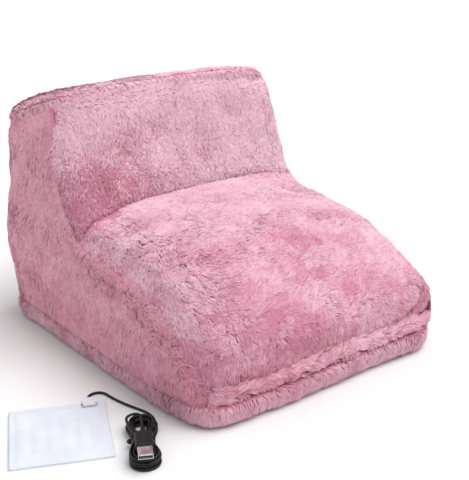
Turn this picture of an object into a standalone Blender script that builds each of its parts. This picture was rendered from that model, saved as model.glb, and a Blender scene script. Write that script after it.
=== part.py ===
"""Electric foot warmer: plush boot for both feet, heating insert taken out, USB lead in a tied hank.

Metres, +Z up. The origin is the middle of the boot's footprint on the floor; the toe faces -Y.
"""
import math

import bmesh
import bpy
import numpy as np

# Footprint of the boot
half_width = 0.150
half_length = 0.182
corner_radius = 0.036
# Clearance between pieces that touch, and the half of it that each panel gives up at a seam
gap = 0.0003
seam_pull = 0.00015
# Heights in the sole
outsole_thickness = 0.002
border_top = 0.022
sleeve_height = 0.006
sleeve_cloth = 0.0007
insole_thickness = 0.0072
insole_draft = 0.0010
# Wall: how far its foot stands in from the footprint, and its thickness at the seams
wall_inset = 0.007
wall_thickness = 0.017
cover_thickness = 0.0035
lining_thickness = 0.003
# Opening at the top
rim_inset = 0.015
rim_half_width = half_width - rim_inset
rim_front_y = 0.074
rim_back_inset = 0.006
rim_back_y = half_length - rim_back_inset
rim_front_z = 0.249
rim_drop = 0.024
rim_front_radius = 0.014
rim_back_radius = 0.026
rim_inner_front_radius = 0.010
rim_inner_back_radius = 0.014
rim_roll_height = 0.0105
rim_roll_bulge = 0.0015
rim_roll_seat = 0.0006
# Crease between the shin panel and the toe panel, outside and inside
crease_y = 0.026
crease_z = 0.124
crease_rise = 0.028
inner_crease_y = 0.043
inner_crease_z = 0.1075
inner_crease_rise = 0.0235
# Top of the roll in front of the toes
front_roll_top = 0.038
# Crowns of the filled panels
side_crown = 0.007
collar_crown = 0.009
back_crown = 0.006
front_roll_crown = 0.007
# Filling pushes the shank out to both sides and to the back, between the sole and the rim
shank_push = 0.006
back_push = 0.006
push_foot_z = 0.045
push_full_z = 0.090
push_top_z = 0.195
# It pushes the toe's right corner out and forwards, and leaves the left one tucked in
right_toe_push = 0.009
right_toe_forward = 0.005
left_toe_tuck = 0.0045
toe_push_inset = 0.022
toe_push_reach = 0.060
toe_push_low_z = 0.050
toe_push_high_z = 0.110
toe_push_start_share = 0.25
toe_push_full_share = 0.8
# The rim bows up in the middle of each side and hangs at its corners, most at the back
rim_bow = 0.004
rim_corner_drop = 0.005
rear_corner_drop = 0.007
# Sleeve for the heating insert
pocket_side_inset = 0.042
pocket_front_inset = 0.062
pocket_half_width = half_width - pocket_side_inset
pocket_front_y = pocket_front_inset - half_length
# Zip in the foot of the back
tape_half_length = 0.083
slot_half_length = tape_half_length + gap
slot_top = 0.034
zip_z = 0.028
zip_recess = 0.0005
zip_y = half_length - wall_inset - zip_recess
tape_thickness = 0.001
teeth_depth = 0.003
teeth_spine_start = 0.001
teeth_spine_end = 0.0022
teeth_reach = 0.0007
tooth_pitch = 0.005
tooth_width = 0.0022
teeth_end_inset = 0.008
stop_length = 0.003
slider_end_inset = 0.0135
slider_x = tape_half_length - slider_end_inset
slider_half_length = 0.0055
slider_half_height = 0.0042
slider_plate = 0.0012
slider_inside = 0.0019
slider_flange = 0.0009
slider_flange_height = 0.0008
slider_post_half_length = 0.003
slider_post_half_height = 0.0017
bail_half_length = 0.0039
bail_inner_half_length = 0.0027
bail_reach = 0.0034
bail_thickness = 0.0014
pull_eye_radius = 0.0022
pull_eye_hole = 0.0013
pull_eye_half_width = 0.0023
pull_length = 0.022
pull_half_width = 0.0038
pull_thickness = 0.0015
pull_hang_deg = 12.0
# Heating insert, in its own frame
insert_clearance = 0.085
insert_x = -half_width - insert_clearance
insert_y = -0.090
insert_turn_deg = -26.0
insert_half_width = 0.043
insert_half_length = 0.045
insert_corner = 0.005
insert_cloth = 0.0008
insert_hem = 0.005
insert_slope = 0.003
insert_raise = 0.0028
wire_diameter = 0.0014
wire_z = 0.0018
wire_runs = 6
wire_side_inset = 0.012
wire_foot_inset = 0.018
wire_head_inset = 0.027
wire_first_x = insert_half_width - wire_side_inset
wire_pitch = 2 * wire_first_x / (wire_runs - 1)
wire_foot_y = wire_foot_inset - insert_half_length
wire_head_y = insert_half_length - wire_head_inset
cutout_length = 0.006
cutout_width = 0.004
cutout_height = 0.0014
return_inset = 0.0145
return_y = insert_half_length - return_inset
return_bend = 0.004
joint_side_inset = 0.015
joint_x = insert_half_width - joint_side_inset
return_pin_offset = 0.003
return_pin_x = joint_x - return_pin_offset
joint_half_width = 0.0055
joint_depth = 0.009
joint_reach = 0.005
joint_back_y = insert_half_length - joint_depth
joint_front_y = insert_half_length + joint_reach
joint_height = 0.0046
joint_corner = 0.001
# USB lead
cord_diameter = 0.0024
cord_lift = 0.00005
cord_bend = 0.009
cord_lead_out = 0.003
cord_reach = 0.045
cord_arrive = 0.035
# Hank, in its own frame: long axis X, pointing away from the toe
hank_clearance = 0.040
hank_x = -half_width - hank_clearance
hank_y = -0.150
hank_turn_deg = 60.0
hank_half_length = 0.024
hank_cap_radius = 0.0072
hank_waist = 0.0016
hank_pitch = 0.00305
hank_layer = 0.00285
hank_hump = 0.0011
hank_hump_core = 0.0026
hank_hump_end = 0.008
tail_climb_start = 0.005
tail_over_z = 0.01275
tail_mid_z = 0.0145
tie_half_width = 0.002
tie_thickness = 0.0008
tie_knot_radius = 0.0022
# Plug
plug_z = 0.0159
relief_start_x = 0.004
relief_length = 0.009
relief_thin_radius = 0.0018
relief_thick_radius = 0.0024
overmould_length = 0.0215
overmould_half_width = 0.0075
overmould_half_height = 0.0040
overmould_corner = 0.0025
shell_length = 0.012
shell_half_width = 0.006
shell_half_height = 0.00225
shell_wall = 0.0004
tongue_length = 0.0105
tongue_half_width = 0.005
tongue_thickness = 0.0016
contact_width = 0.0011
contact_pitch = 0.0022
contact_length = 0.007
contact_thickness = 0.0003

# Seam of the shin panel, from the crease up: shares of the run back and of the rise
COLLAR_SHARES = ((0, 0), (.25, .11), (.47, .24), (.66, .40), (.81, .58), (.92, .79), (1, 1))
# Seam of the toe panel, from the crease to the tip: shares of the run forward and of the fall
TOE_SEAM_SHARES = ((0, 0), (.24, .14), (.43, .18), (.58, .26), (.71, .36), (.82, .54),
                   (.92, .74), (.965, .87), (1, 1))
# Middle line of the toe, outside and inside, in the same shares
TOE_CROWN_SHARES = ((0, 0), (.23, .035), (.42, .08), (.59, .14), (.74, .245), (.875, .40),
                    (.98, .61), (1.02, .81), (1, 1))
TOE_LINING_SHARES = ((0, 0), (.255, .045), (.43, .10), (.59, .18), (.73, .30), (.86, .48),
                     (.955, .70), (.985, .87), (1, 1))
# Where the side panel's columns stand on the straight part of its foot, back to front
SIDE_FOOT_SHARES = (.095, .17, .21, .245, .28, .315, .345, .385, .43, .55, .66, .77, .855, .935)
# Angles of a quarter corner's stations
CORNER_STEPS = (0, 22.5, 45)
SIDE_ROWS = 6
# The bulge of the sole's border: shares of the wall inset and of the border's height
BORDER_SHARES = ((1.6, 0), (.85, .08), (.28, .25), (0, .52), (.12, .76), (.45, .93), (1, 1))
ROLL_ANGLES = (0, 28, 58, 90, 122, 152, 180)
LOOP_STEPS = 24
HANK_TURNS = 7.75
TURNS_IN_LAYER = 2


def clear_scene():
    """Empties the scene."""
    for item in list(bpy.data.objects):
        bpy.data.objects.remove(item, do_unlink=True)


def surface(name, colour, roughness, metallic=0.0):
    """One plain material."""
    made = bpy.data.materials.new(name)
    made.use_nodes = True
    shader = made.node_tree.nodes["Principled BSDF"]
    shader.inputs["Base Color"].default_value = (*colour, 1.0)
    shader.inputs["Roughness"].default_value = roughness
    shader.inputs["Metallic"].default_value = metallic
    made.diffuse_color = (*colour, 1.0)
    return made


def body(name, points, faces, look, origin=(0, 0, 0)):
    """One closed mesh, faced outwards, with its origin where asked."""
    points = np.asarray(points, float) - np.asarray(origin, float)
    mesh = bpy.data.meshes.new(name)
    mesh.from_pydata(points.tolist(), [], [list(map(int, face)) for face in faces])
    work = bmesh.new()
    work.from_mesh(mesh)
    bmesh.ops.recalc_face_normals(work, faces=work.faces)
    work.to_mesh(mesh)
    work.free()
    mesh.materials.append(look)
    made = bpy.data.objects.new(name, mesh)
    made.location = origin
    bpy.context.scene.collection.objects.link(made)
    return made


def loft(name, loops, look, closed=False, origin=(0, 0, 0)):
    """Skin over loops with the same number of points; capped, or closed on itself."""
    count = len(loops[0])
    points = np.concatenate([np.asarray(loop, float) for loop in loops])
    faces = []
    pairs = len(loops) if closed else len(loops) - 1
    for step in range(pairs):
        here = step * count
        there = ((step + 1) % len(loops)) * count
        for k in range(count):
            follow = (k + 1) % count
            faces.append((here + k, here + follow, there + follow, there + k))
    if not closed:
        faces.append(tuple(range(count)))
        faces.append(tuple((len(loops) - 1) * count + k for k in range(count)))
    return body(name, points, faces, look, origin)


def prism(name, outline, low, high, axis, look, origin=(0, 0, 0)):
    """Outline drawn in the two axes other than the named one, pushed along that one."""
    order = {"X": (2, 0, 1), "Y": (0, 2, 1), "Z": (0, 1, 2)}[axis]
    loops = []
    for level in (low, high):
        flat = [(a, b, level) for a, b in outline]
        loops.append([tuple(point[order[k]] for k in range(3)) for point in flat])
    return loft(name, loops, look, origin=origin)


def tool(made):
    """Marks a body as a hidden tool of a boolean."""
    made.hide_render = True
    made.display_type = "WIRE"
    return made


def combine(target, other, operation):
    """Exact boolean with a hidden tool."""
    step = target.modifiers.new(other.name, "BOOLEAN")
    step.operation = operation
    step.solver = "EXACT"
    step.object = tool(other)


def box_outline(low_a, high_a, low_b, high_b):
    """Corners of a rectangle."""
    return [(low_a, low_b), (high_a, low_b), (high_a, high_b), (low_a, high_b)]


def rounded(wide, long, radius, steps=4):
    """Rounded rectangle, anticlockwise from the +X +Y corner's first station."""
    points = []
    for quarter in range(4):
        sign_x = 1 if quarter in (0, 3) else -1
        sign_y = 1 if quarter in (0, 1) else -1
        for k in range(steps + 1):
            angle = math.radians(90 * quarter + 90 * k / steps)
            points.append((sign_x * (wide - radius) + radius * math.cos(angle),
                           sign_y * (long - radius) + radius * math.sin(angle)))
    return points


def level(outline, z):
    """Outline at one height."""
    return [(x, y, z) for x, y in outline]


def smooth(share):
    """Eased step from 0 to 1."""
    share = np.clip(share, 0.0, 1.0)
    return share * share * (3 - 2 * share)


def fullness(share):
    """How far a filled panel has swollen, 0 at its seams and 1 in its middle."""
    return (1 - abs(2 * share - 1) ** 3) ** 0.6


def steep(share):
    """The same for the toe, whose sides rise faster."""
    return (1 - abs(share) ** 3) ** 0.45


class Face:
    """Seam lines of one face of the wall, the outer one or the inner one."""

    def __init__(self, inset, crease, rise, corners, rim_radii, thickness, crown_shares):
        self.wide = half_width - inset
        self.long = half_length - inset
        self.radius = corners
        self.crease = crease
        self.rise = rise
        self.rim_wide = rim_half_width - thickness
        self.rim_front = rim_front_y + thickness
        self.rim_back = rim_back_y - thickness
        self.front_radius, self.back_radius = rim_radii
        self.crown_shares = crown_shares
        self.base = border_top + seam_pull

    def lean(self, z):
        """Half width of the wall at a height."""
        share = (z - front_roll_top) / (rim_front_z - front_roll_top)
        return self.wide + (self.rim_wide - self.wide) * share

    def plan_x(self, y, z):
        """Half width on the footprint's rounded outline, leaned in with height."""
        over = max(abs(y) - (self.long - self.radius), 0.0)
        return self.lean(z) - self.radius + math.sqrt(self.radius ** 2 - over ** 2)

    def rim_z(self, y):
        """Height of the flat rim."""
        return rim_front_z - rim_drop * (y - rim_front_y) / (rim_back_y - rim_front_y)

    def quarter(self, wide, long, radius, degrees):
        """Point of a corner, measured from the side's straight."""
        angle = math.radians(degrees)
        return wide - radius + radius * math.cos(angle), long - radius + radius * math.sin(angle)

    def foot_side(self):
        """Foot of the right side panel, back to front."""
        points = []
        for degrees in reversed(CORNER_STEPS):
            x, y = self.quarter(self.wide, self.long, self.radius, degrees)
            points.append((x, y, self.base))
        run = self.long - self.radius
        for share in SIDE_FOOT_SHARES:
            points.append((self.wide, run - 2 * run * share, self.base))
        for degrees in CORNER_STEPS:
            x, y = self.quarter(self.wide, self.long, self.radius, degrees)
            points.append((x, -y, self.base))
        return np.array(points)

    def rim_side(self):
        """Rim part of the right side's top, back to front."""
        points = []
        for degrees in reversed(CORNER_STEPS):
            points.append(self.quarter(self.rim_wide, self.rim_back, self.back_radius, degrees))
        straight_back = self.rim_back - self.back_radius
        straight_front = self.rim_front + self.front_radius
        points.append((self.rim_wide, (straight_back + straight_front) / 2))
        points.append((self.rim_wide, straight_front))
        x, reach = self.quarter(self.rim_wide, 0.0, self.front_radius, 45)
        points.append((x, self.rim_front - reach))
        return np.array([(x, y, self.rim_z(y)) for x, y in points])

    def collar_seam(self):
        """Right seam of the shin panel, from the rim down to the crease."""
        top = self.rim_side()[-1]
        low_y, low_z = self.crease
        points = []
        for run, rise in reversed(COLLAR_SHARES):
            z = low_z + rise * (top[2] - low_z)
            share = (z - low_z) / (top[2] - low_z)
            low_x = self.plan_x(low_y, low_z)
            points.append((low_x + (top[0] - low_x) * share, low_y + run * (top[1] - low_y), z))
        return np.array(points)

    def toe_seam(self):
        """Right seam of the toe panel, from the crease to the tip."""
        high_y, high_z = self.crease
        tip_x, tip_y = self.quarter(self.wide, self.long, self.radius, 45)
        points = []
        for run, fall in TOE_SEAM_SHARES:
            y = high_y + run * (-tip_y - high_y)
            z = high_z + fall * (front_roll_top - high_z)
            points.append((self.plan_x(y, z), y, z))
        points[-1] = (tip_x, -tip_y, front_roll_top)
        return np.array(points)

    def side(self):
        """Right side panel: straight columns from its foot to its top."""
        top = np.concatenate([self.rim_side(), self.collar_seam()[1:], self.toe_seam()[1:]])
        foot = self.foot_side()
        shares = np.linspace(0, 1, SIDE_ROWS + 1)[None, :, None]
        return foot[:, None, :] * (1 - shares) + top[:, None, :] * shares

    def front_shares(self):
        """Cross positions of the toe's columns as shares of its half width, left to right."""
        tip_x, _ = self.quarter(self.wide, self.long, self.radius, 45)
        mid_x, _ = self.quarter(self.wide, self.long, self.radius, 67.5)
        straight = (self.wide - self.radius) / tip_x
        half = [0, straight / 4, straight / 2, straight * 3 / 4, straight, mid_x / tip_x, 1]
        return [-value for value in reversed(half[1:])] + half

    def crease_line(self):
        """Crease from left to right, higher in the middle."""
        edge = self.toe_seam()[0]
        return np.array([(share * edge[0], edge[1], edge[2] + self.rise * steep(share))
                         for share in self.front_shares()])

    def toe(self):
        """Toe panel: columns from left to right, rows from the crease to the front."""
        seam = self.toe_seam()
        tip_y = seam[-1][1]
        rows = len(seam) - 1
        top_y, top_z = self.crease
        top_z = top_z + self.rise
        grid = []
        for share in self.front_shares():
            over = max(abs(share) * seam[-1][0] - (self.wide - self.radius), 0.0)
            front_y = -(self.long - self.radius) - math.sqrt(self.radius ** 2 - over ** 2)
            corner = (front_y - tip_y) / (-self.long - tip_y)
            column = []
            for j, (run, fall) in enumerate(self.crown_shares):
                blend = (j / rows) ** 2
                swell = steep(share) * (1 - blend) + corner * blend
                middle_y = top_y + run * (-self.long - top_y)
                middle_z = top_z + fall * (front_roll_top - top_z)
                x, y, z = seam[j]
                column.append((share * x, y + (middle_y - y) * swell, z + (middle_z - z) * swell))
            grid.append(column)
        return np.array(grid)

    def outline_back(self, wide, long, radius, heights):
        """Back edge from left to right between the corners' middles."""
        half = []
        for degrees in (45, 67.5, 90):
            half.append(self.quarter(wide, long, radius, degrees))
        straight = wide - radius
        for share in (3 / 4, 1 / 2, 1 / 4, 0):
            half.append((straight * share, long))
        line = [(-x, y) for x, y in half] + list(reversed(half[:-1]))
        return np.array([(x, y, heights(y)) for x, y in line])

    def back(self):
        """Heel panel: straight columns from left to right."""
        foot = self.outline_back(self.wide, self.long, self.radius, lambda y: self.base)
        top = self.outline_back(self.rim_wide, self.rim_back, self.back_radius, self.rim_z)
        shares = np.linspace(0, 1, SIDE_ROWS + 1)[None, :, None]
        return foot[:, None, :] * (1 - shares) + top[:, None, :] * shares

    def rim_front_line(self):
        """Front edge of the rim from left to right."""
        line = self.outline_back(self.rim_wide, -self.rim_front, self.front_radius, lambda y: 0.0)
        line[:, 1] = -line[:, 1]
        line[:, 2] = [self.rim_z(y) for y in line[:, 1]]
        return line

    def collar(self):
        """Shin panel: blend of its four seams, rows from the rim to the crease."""
        top = self.rim_front_line()
        low = self.crease_line()
        right = self.collar_seam()
        left = right * np.array([-1, 1, 1])
        rows = len(right) - 1
        across = (np.array(self.front_shares()) + 1) / 2
        grid = np.zeros((len(top), rows + 1, 3))
        for i, u in enumerate(across):
            for j in range(rows + 1):
                v = j / rows
                ruled = top[i] * (1 - v) + low[i] * v + left[j] * (1 - u) + right[j] * u
                corners = ((top[0] * (1 - v) + low[0] * v) * (1 - u)
                           + (top[-1] * (1 - v) + low[-1] * v) * u)
                grid[i, j] = ruled - corners
        return grid

    def front_roll(self):
        """Roll in front of the toes: columns left to right, rows upwards."""
        foot = self.outline_back(self.wide, self.long, self.radius, lambda y: self.base)
        foot[:, 1] = -foot[:, 1]
        top = foot.copy()
        top[:, 2] = front_roll_top
        shares = np.linspace(0, 1, SIDE_ROWS + 1)[None, :, None]
        return foot[:, None, :] * (1 - shares) + top[:, None, :] * shares


def swollen(outer, inner, crown):
    """Outer grid pushed out along its normals, nothing at its seams."""
    along_u = np.gradient(outer, axis=0)
    along_v = np.gradient(outer, axis=1)
    normal = np.cross(along_u, along_v)
    normal /= np.linalg.norm(normal, axis=2, keepdims=True)
    middle = tuple(size // 2 for size in outer.shape[:2])
    if np.dot(normal[middle], outer[middle] - inner[middle]) < 0:
        normal = -normal
    across = np.array([fullness(k / (outer.shape[0] - 1)) for k in range(outer.shape[0])])
    upward = np.array([fullness(k / (outer.shape[1] - 1)) for k in range(outer.shape[1])])
    return outer + normal * crown * (across[:, None] * upward[None, :])[:, :, None]


def bowed(points):
    """Points of the wall after the rim has bowed: nothing happens below the crease."""
    made = np.array(points, float)
    x, y, z = made[..., 0], made[..., 1], made[..., 2]
    high = smooth((z - crease_z) / (rim_front_z - rim_drop - crease_z))
    rear = smooth((y - rim_front_y) / (rim_back_y - rim_front_y))
    corner = (np.abs(x) / rim_half_width) ** 4
    drop = (rim_bow + rim_corner_drop + rear_corner_drop * rear) * corner
    made[..., 2] = z + (rim_bow - drop) * high
    return made


def stuffed(points):
    """Points of the outer face after filling, which moves nothing near the zip."""
    made = bowed(points)
    x, y, z = made[..., 0].copy(), made[..., 1].copy(), made[..., 2]
    belly = smooth((z - push_foot_z) / (push_full_z - push_foot_z))
    belly = belly * (1 - smooth((z - push_top_z) / (rim_front_z - push_top_z)))
    behind = smooth((y - crease_y) / (rim_front_y - crease_y))
    rear = smooth((y - rim_front_y) / (half_length - rim_front_y))
    made[..., 0] += shank_push * belly * behind * x / half_width
    made[..., 1] += back_push * belly * rear
    ahead = smooth((toe_push_inset + toe_push_reach - half_length - y) / toe_push_reach)
    low = 1 - smooth((z - toe_push_low_z) / (toe_push_high_z - toe_push_low_z))
    span = toe_push_full_share - toe_push_start_share
    right = smooth((x / half_width - toe_push_start_share) / span) * ahead * low
    left = smooth((-x / half_width - toe_push_start_share) / span) * ahead * low
    made[..., 0] += right_toe_push * right + left_toe_tuck * left
    made[..., 1] += left_toe_tuck * left - right_toe_forward * right
    return made


def pulled(grid):
    """Grid with its border drawn in by the half clearance of a seam."""
    made = grid.copy()
    for here, there in ((0, 1), (-1, -2)):
        step = grid[there] - grid[here]
        made[here] += seam_pull * step / np.linalg.norm(step, axis=1, keepdims=True)
    for here, there in ((0, 1), (-1, -2)):
        step = grid[:, there] - grid[:, here]
        made[:, here] += seam_pull * step / np.linalg.norm(step, axis=1, keepdims=True)
    return made


def between(outer, inner, depth):
    """Grid at a depth below the outer one, on the way to the inner one."""
    way = inner - outer
    return outer + way / np.linalg.norm(way, axis=2, keepdims=True) * depth


def slab(name, outer, inner, look):
    """Closed body between two grids, with the same diagonals in every layer."""
    columns, rows = outer.shape[:2]
    points = np.concatenate([outer.reshape(-1, 3), inner.reshape(-1, 3)])
    half = columns * rows

    def at(i, j, deep):
        return i * rows + j + half * deep

    faces = []
    for i in range(columns - 1):
        for j in range(rows - 1):
            for deep in (0, 1):
                faces.append((at(i, j, deep), at(i + 1, j, deep), at(i + 1, j + 1, deep)))
                faces.append((at(i, j, deep), at(i + 1, j + 1, deep), at(i, j + 1, deep)))
    for j in (0, rows - 1):
        for i in range(columns - 1):
            faces.append((at(i, j, 0), at(i + 1, j, 0), at(i + 1, j, 1)))
            faces.append((at(i, j, 0), at(i + 1, j, 1), at(i, j, 1)))
    for i in (0, columns - 1):
        for j in range(rows - 1):
            faces.append((at(i, j, 0), at(i, j + 1, 0), at(i, j + 1, 1)))
            faces.append((at(i, j, 0), at(i, j + 1, 1), at(i, j, 1)))
    return body(name, points, faces, look)


def layers(name, outer, inner, looks):
    """Cover, wadding and lining of one panel."""
    outer = pulled(outer)
    inner = pulled(inner)
    cover_low = between(outer, inner, cover_thickness)
    filling_top = between(outer, inner, cover_thickness + gap)
    lining_top = between(inner, outer, lining_thickness)
    filling_low = between(inner, outer, lining_thickness + gap)
    cover = slab(name + "_cover", outer, cover_low, looks["plush"])
    filling = slab(name + "_wadding", filling_top, filling_low, looks["wadding"])
    lining = slab(name + "_lining", lining_top, inner, looks["lining"])
    return cover, filling, lining


def boot_panels(outside, inside, looks):
    """The wall of the boot."""
    inner = inside.side()
    outer = swollen(outside.side(), inner, side_crown)
    layers("right_side", stuffed(outer), bowed(inner), looks)
    mirror = np.array([-1, 1, 1])
    layers("left_side", stuffed(outer * mirror), bowed(inner * mirror), looks)
    layers("toe", stuffed(outside.toe()), bowed(inside.toe()), looks)
    inner = inside.collar()
    outer = swollen(outside.collar(), inner, collar_crown)
    layers("collar", stuffed(outer), bowed(inner), looks)
    inner = inside.back()
    outer = swollen(outside.back(), inner, back_crown)
    for made in layers("back", stuffed(outer), bowed(inner), looks):
        low = border_top - insole_thickness
        outline = box_outline(-slot_half_length, slot_half_length, low, slot_top)
        cutter = prism(made.name + "_slot", outline, 0.8 * rim_back_y, 1.2 * rim_back_y, "Y",
                       looks["wadding"])
        combine(made, cutter, "DIFFERENCE")
    inner = inside.front_roll()
    outer = swollen(outside.front_roll(), inner, front_roll_crown)
    slab("front_roll", pulled(stuffed(outer)), pulled(inner), looks["plush"])


def rim_roll(outside, inside, look):
    """Stuffed roll round the opening, on the flat top of the panels."""
    rings = []
    for face in (outside, inside):
        right = face.rim_side()[::-1]
        left = face.rim_side() * np.array([-1, 1, 1])
        back = face.outline_back(face.rim_wide, face.rim_back, face.back_radius, face.rim_z)[::-1]
        front = face.rim_front_line()
        rings.append(np.concatenate([front[:-1], right[:-1], back[:-1], left[:-1]]))
    outer, inner = stuffed(rings[0]), bowed(rings[1])
    tilt = math.atan2(rim_drop, rim_back_y - rim_front_y)
    up = np.array([0.0, math.sin(tilt), math.cos(tilt)])
    out = outer - inner
    out /= np.linalg.norm(out, axis=1, keepdims=True)
    loops = []
    for degrees in ROLL_ANGLES:
        angle = math.radians(degrees)
        share = (1 - math.cos(angle)) / 2
        line = outer * (1 - share) + inner * share
        line = line + up * (rim_roll_seat + rim_roll_height * math.sin(angle))
        line = line + out * rim_roll_bulge * math.sin(2 * angle)
        loops.append(line)
    loft("rim_roll", loops, look, closed=True)


def sole(outside, inside, looks):
    """Outsole, foam, border, sleeve and insole."""
    inset = wall_inset * BORDER_SHARES[0][0]
    foot = rounded(half_width - inset, half_length - inset, corner_radius - inset)
    loops = [stuffed(level(foot, 0.0)), stuffed(level(foot, outsole_thickness))]
    loft("outsole", loops, looks["outsole"])
    low = outsole_thickness + gap
    loops = []
    for share_in, share_up in BORDER_SHARES:
        inset = wall_inset * share_in
        outline = rounded(half_width - inset, half_length - inset, corner_radius - inset)
        loops.append(stuffed(level(outline, low + (border_top - low) * share_up)))
    hole = rounded(inside.wide, inside.long, inside.radius)
    loops.append(level(hole, border_top))
    loops.append(level(hole, low))
    loft("sole_border", loops, looks["plush"], closed=True)
    fill = rounded(inside.wide - gap, inside.long - gap, inside.radius - gap)
    prism("sole_foam", fill, low, border_top, "Z", looks["foam"])
    base = border_top + gap
    top = base + sleeve_height
    rise = sleeve_height + gap + insole_thickness

    def drafted(z):
        inset = gap + insole_draft * (z - base) / rise
        return level(rounded(inside.wide - inset, inside.long - inset, inside.radius - inset), z)

    sleeve = loft("pad_pocket", [drafted(base), drafted(top)], looks["sleeve"])
    outline = box_outline(-pocket_half_width, pocket_half_width, pocket_front_y, half_length)
    hollow = prism("pad_pocket_hollow", outline, base + sleeve_cloth, top - sleeve_cloth, "Z",
                   looks["sleeve"])
    combine(sleeve, hollow, "DIFFERENCE")
    loft("insole", [drafted(top + gap), drafted(base + rise)], looks["lining"])


def comb(name, up, first_x, count, look):
    """One row of zip teeth on its spine, drawn from the spine outwards."""
    start = teeth_spine_start * up
    end = teeth_spine_end * up
    tip = -teeth_reach * up
    last_x = first_x + (count - 1) * tooth_pitch + tooth_width / 2
    outline = [(last_x, zip_z + end), (first_x - tooth_width / 2, zip_z + end)]
    for k in range(count):
        x = first_x + k * tooth_pitch
        if k:
            outline.append((x - tooth_width / 2, zip_z + start))
        outline.append((x - tooth_width / 2, zip_z + tip))
        outline.append((x + tooth_width / 2, zip_z + tip))
        if k < count - 1:
            outline.append((x + tooth_width / 2, zip_z + start))
    low = zip_y - teeth_depth / 2
    prism(name, outline, low, zip_y + teeth_depth / 2, "Y", look)


def zip_fastener(looks):
    """Closed zip of the insert's pocket, with its slider at the +X end."""
    last_x = slider_x - slider_half_length - gap - tooth_width / 2 - tooth_pitch / 2
    pitches = int((last_x + tape_half_length - teeth_end_inset) / tooth_pitch)
    start_x = last_x - pitches * tooth_pitch
    comb("zip_upper_teeth", 1, start_x, pitches + 1, looks["teeth"])
    comb("zip_lower_teeth", -1, start_x + tooth_pitch / 2, pitches + 1, looks["teeth"])
    low = zip_y - tape_thickness / 2
    high = zip_y + tape_thickness / 2
    near = teeth_spine_end + gap
    outline = box_outline(-tape_half_length, tape_half_length, zip_z + near, slot_top - gap)
    prism("zip_upper_tape", outline, low, high, "Y", looks["tape"])
    outline = box_outline(-tape_half_length, tape_half_length, border_top + gap, zip_z - near)
    prism("zip_lower_tape", outline, low, high, "Y", looks["tape"])
    end = start_x - tooth_width / 2 - gap
    outline = box_outline(end - stop_length, end, zip_z - teeth_spine_end,
                          zip_z + teeth_spine_end)
    prism("zip_left_stop", outline, zip_y - teeth_depth / 2, zip_y + teeth_depth / 2, "Y",
          looks["metal"])
    end = slider_x + slider_half_length + gap
    outline = box_outline(end, end + stop_length, zip_z - teeth_spine_end,
                          zip_z + teeth_spine_end)
    prism("zip_right_stop", outline, zip_y - teeth_depth / 2, zip_y + teeth_depth / 2, "Y",
          looks["metal"])


def channel(name, side, look):
    """One plate of the slider with its two flanges, as an outline in Y and Z."""
    near = zip_y + side * slider_inside
    far = near + side * slider_plate
    lip = near - side * slider_flange
    top = slider_half_height
    step = slider_half_height - slider_flange_height
    outline = [(far, zip_z - top), (far, zip_z + top), (lip, zip_z + top), (lip, zip_z + step),
               (near, zip_z + step), (near, zip_z - step), (lip, zip_z - step),
               (lip, zip_z - top)]
    return prism(name, outline, slider_x - slider_half_length, slider_x + slider_half_length,
                 "X", look, origin=(slider_x, zip_y, zip_z))


def zip_slider(looks):
    """Slider and its pull, each with its origin on its own joint."""
    look = looks["metal"]
    slider = channel("zip_slider", 1, look)
    combine(slider, channel("slider_back_plate", -1, look), "UNION")
    half = slider_post_half_length
    tall = slider_post_half_height
    outline = [(slider_x - half, zip_z), (slider_x, zip_z - tall), (slider_x + half, zip_z),
               (slider_x, zip_z + tall)]
    reach = slider_inside + slider_plate / 2
    post = prism("slider_post", outline, zip_y - reach, zip_y + reach, "Y", look)
    combine(slider, post, "UNION")
    front = zip_y + slider_inside + slider_plate
    root = front - slider_plate / 2
    top = front + bail_reach
    inner = top - bail_thickness
    wide = bail_half_length
    slim = bail_inner_half_length
    outline = [(slider_x - wide, root), (slider_x - slim, root), (slider_x - slim, inner),
               (slider_x + slim, inner), (slider_x + slim, root), (slider_x + wide, root),
               (slider_x + wide, top), (slider_x - wide, top)]
    bail = prism("slider_bail", outline, zip_z - bail_thickness / 2,
                 zip_z + bail_thickness / 2, "Z", look)
    combine(slider, bail, "UNION")
    axis_y = (top + inner) / 2
    hinge = (slider_x, axis_y, zip_z)
    loops = []
    for radius, side in ((pull_eye_radius, -1), (pull_eye_radius, 1), (pull_eye_hole, 1),
                         (pull_eye_hole, -1)):
        ring = []
        for k in range(16):
            angle = math.radians(360 * k / 16)
            ring.append((slider_x + side * pull_eye_half_width, axis_y + radius * math.cos(angle),
                         zip_z + radius * math.sin(angle)))
        loops.append(ring)
    pull = loft("zip_pull", loops, looks["pull"], closed=True, origin=hinge)
    neck = pull_eye_half_width
    wide = pull_half_width
    start = -(pull_eye_radius + pull_eye_hole) / 2
    shoulder = -2 * pull_eye_radius
    outline = [(-neck, start), (-neck, shoulder), (-wide, 2 * shoulder),
               (-wide, wide - pull_length), (-wide / 2, -pull_length), (wide / 2, -pull_length),
               (wide, wide - pull_length), (wide, 2 * shoulder), (neck, shoulder), (neck, start)]
    hang = math.radians(pull_hang_deg)
    loops = []
    for side in (-1, 1):
        y = side * pull_thickness / 2
        loops.append([(slider_x + a, axis_y + y * math.cos(hang) - b * math.sin(hang),
                       zip_z + y * math.sin(hang) + b * math.cos(hang)) for a, b in outline])
    combine(pull, loft("pull_tab", loops, looks["pull"], origin=hinge), "UNION")


def placed(points, centre_x, centre_y, degrees):
    """Points of a local frame on the floor, brought into the boot's frame."""
    turn = math.radians(degrees)
    c, s = math.cos(turn), math.sin(turn)
    return [(centre_x + c * x - s * y, centre_y + s * x + c * y, z) for x, y, z in points]


def on_insert(points):
    """The same from the heating insert's frame."""
    return placed(points, insert_x, insert_y, insert_turn_deg)


def on_hank(points):
    """The same from the hank's frame."""
    return placed(points, hank_x, hank_y, hank_turn_deg)


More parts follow.
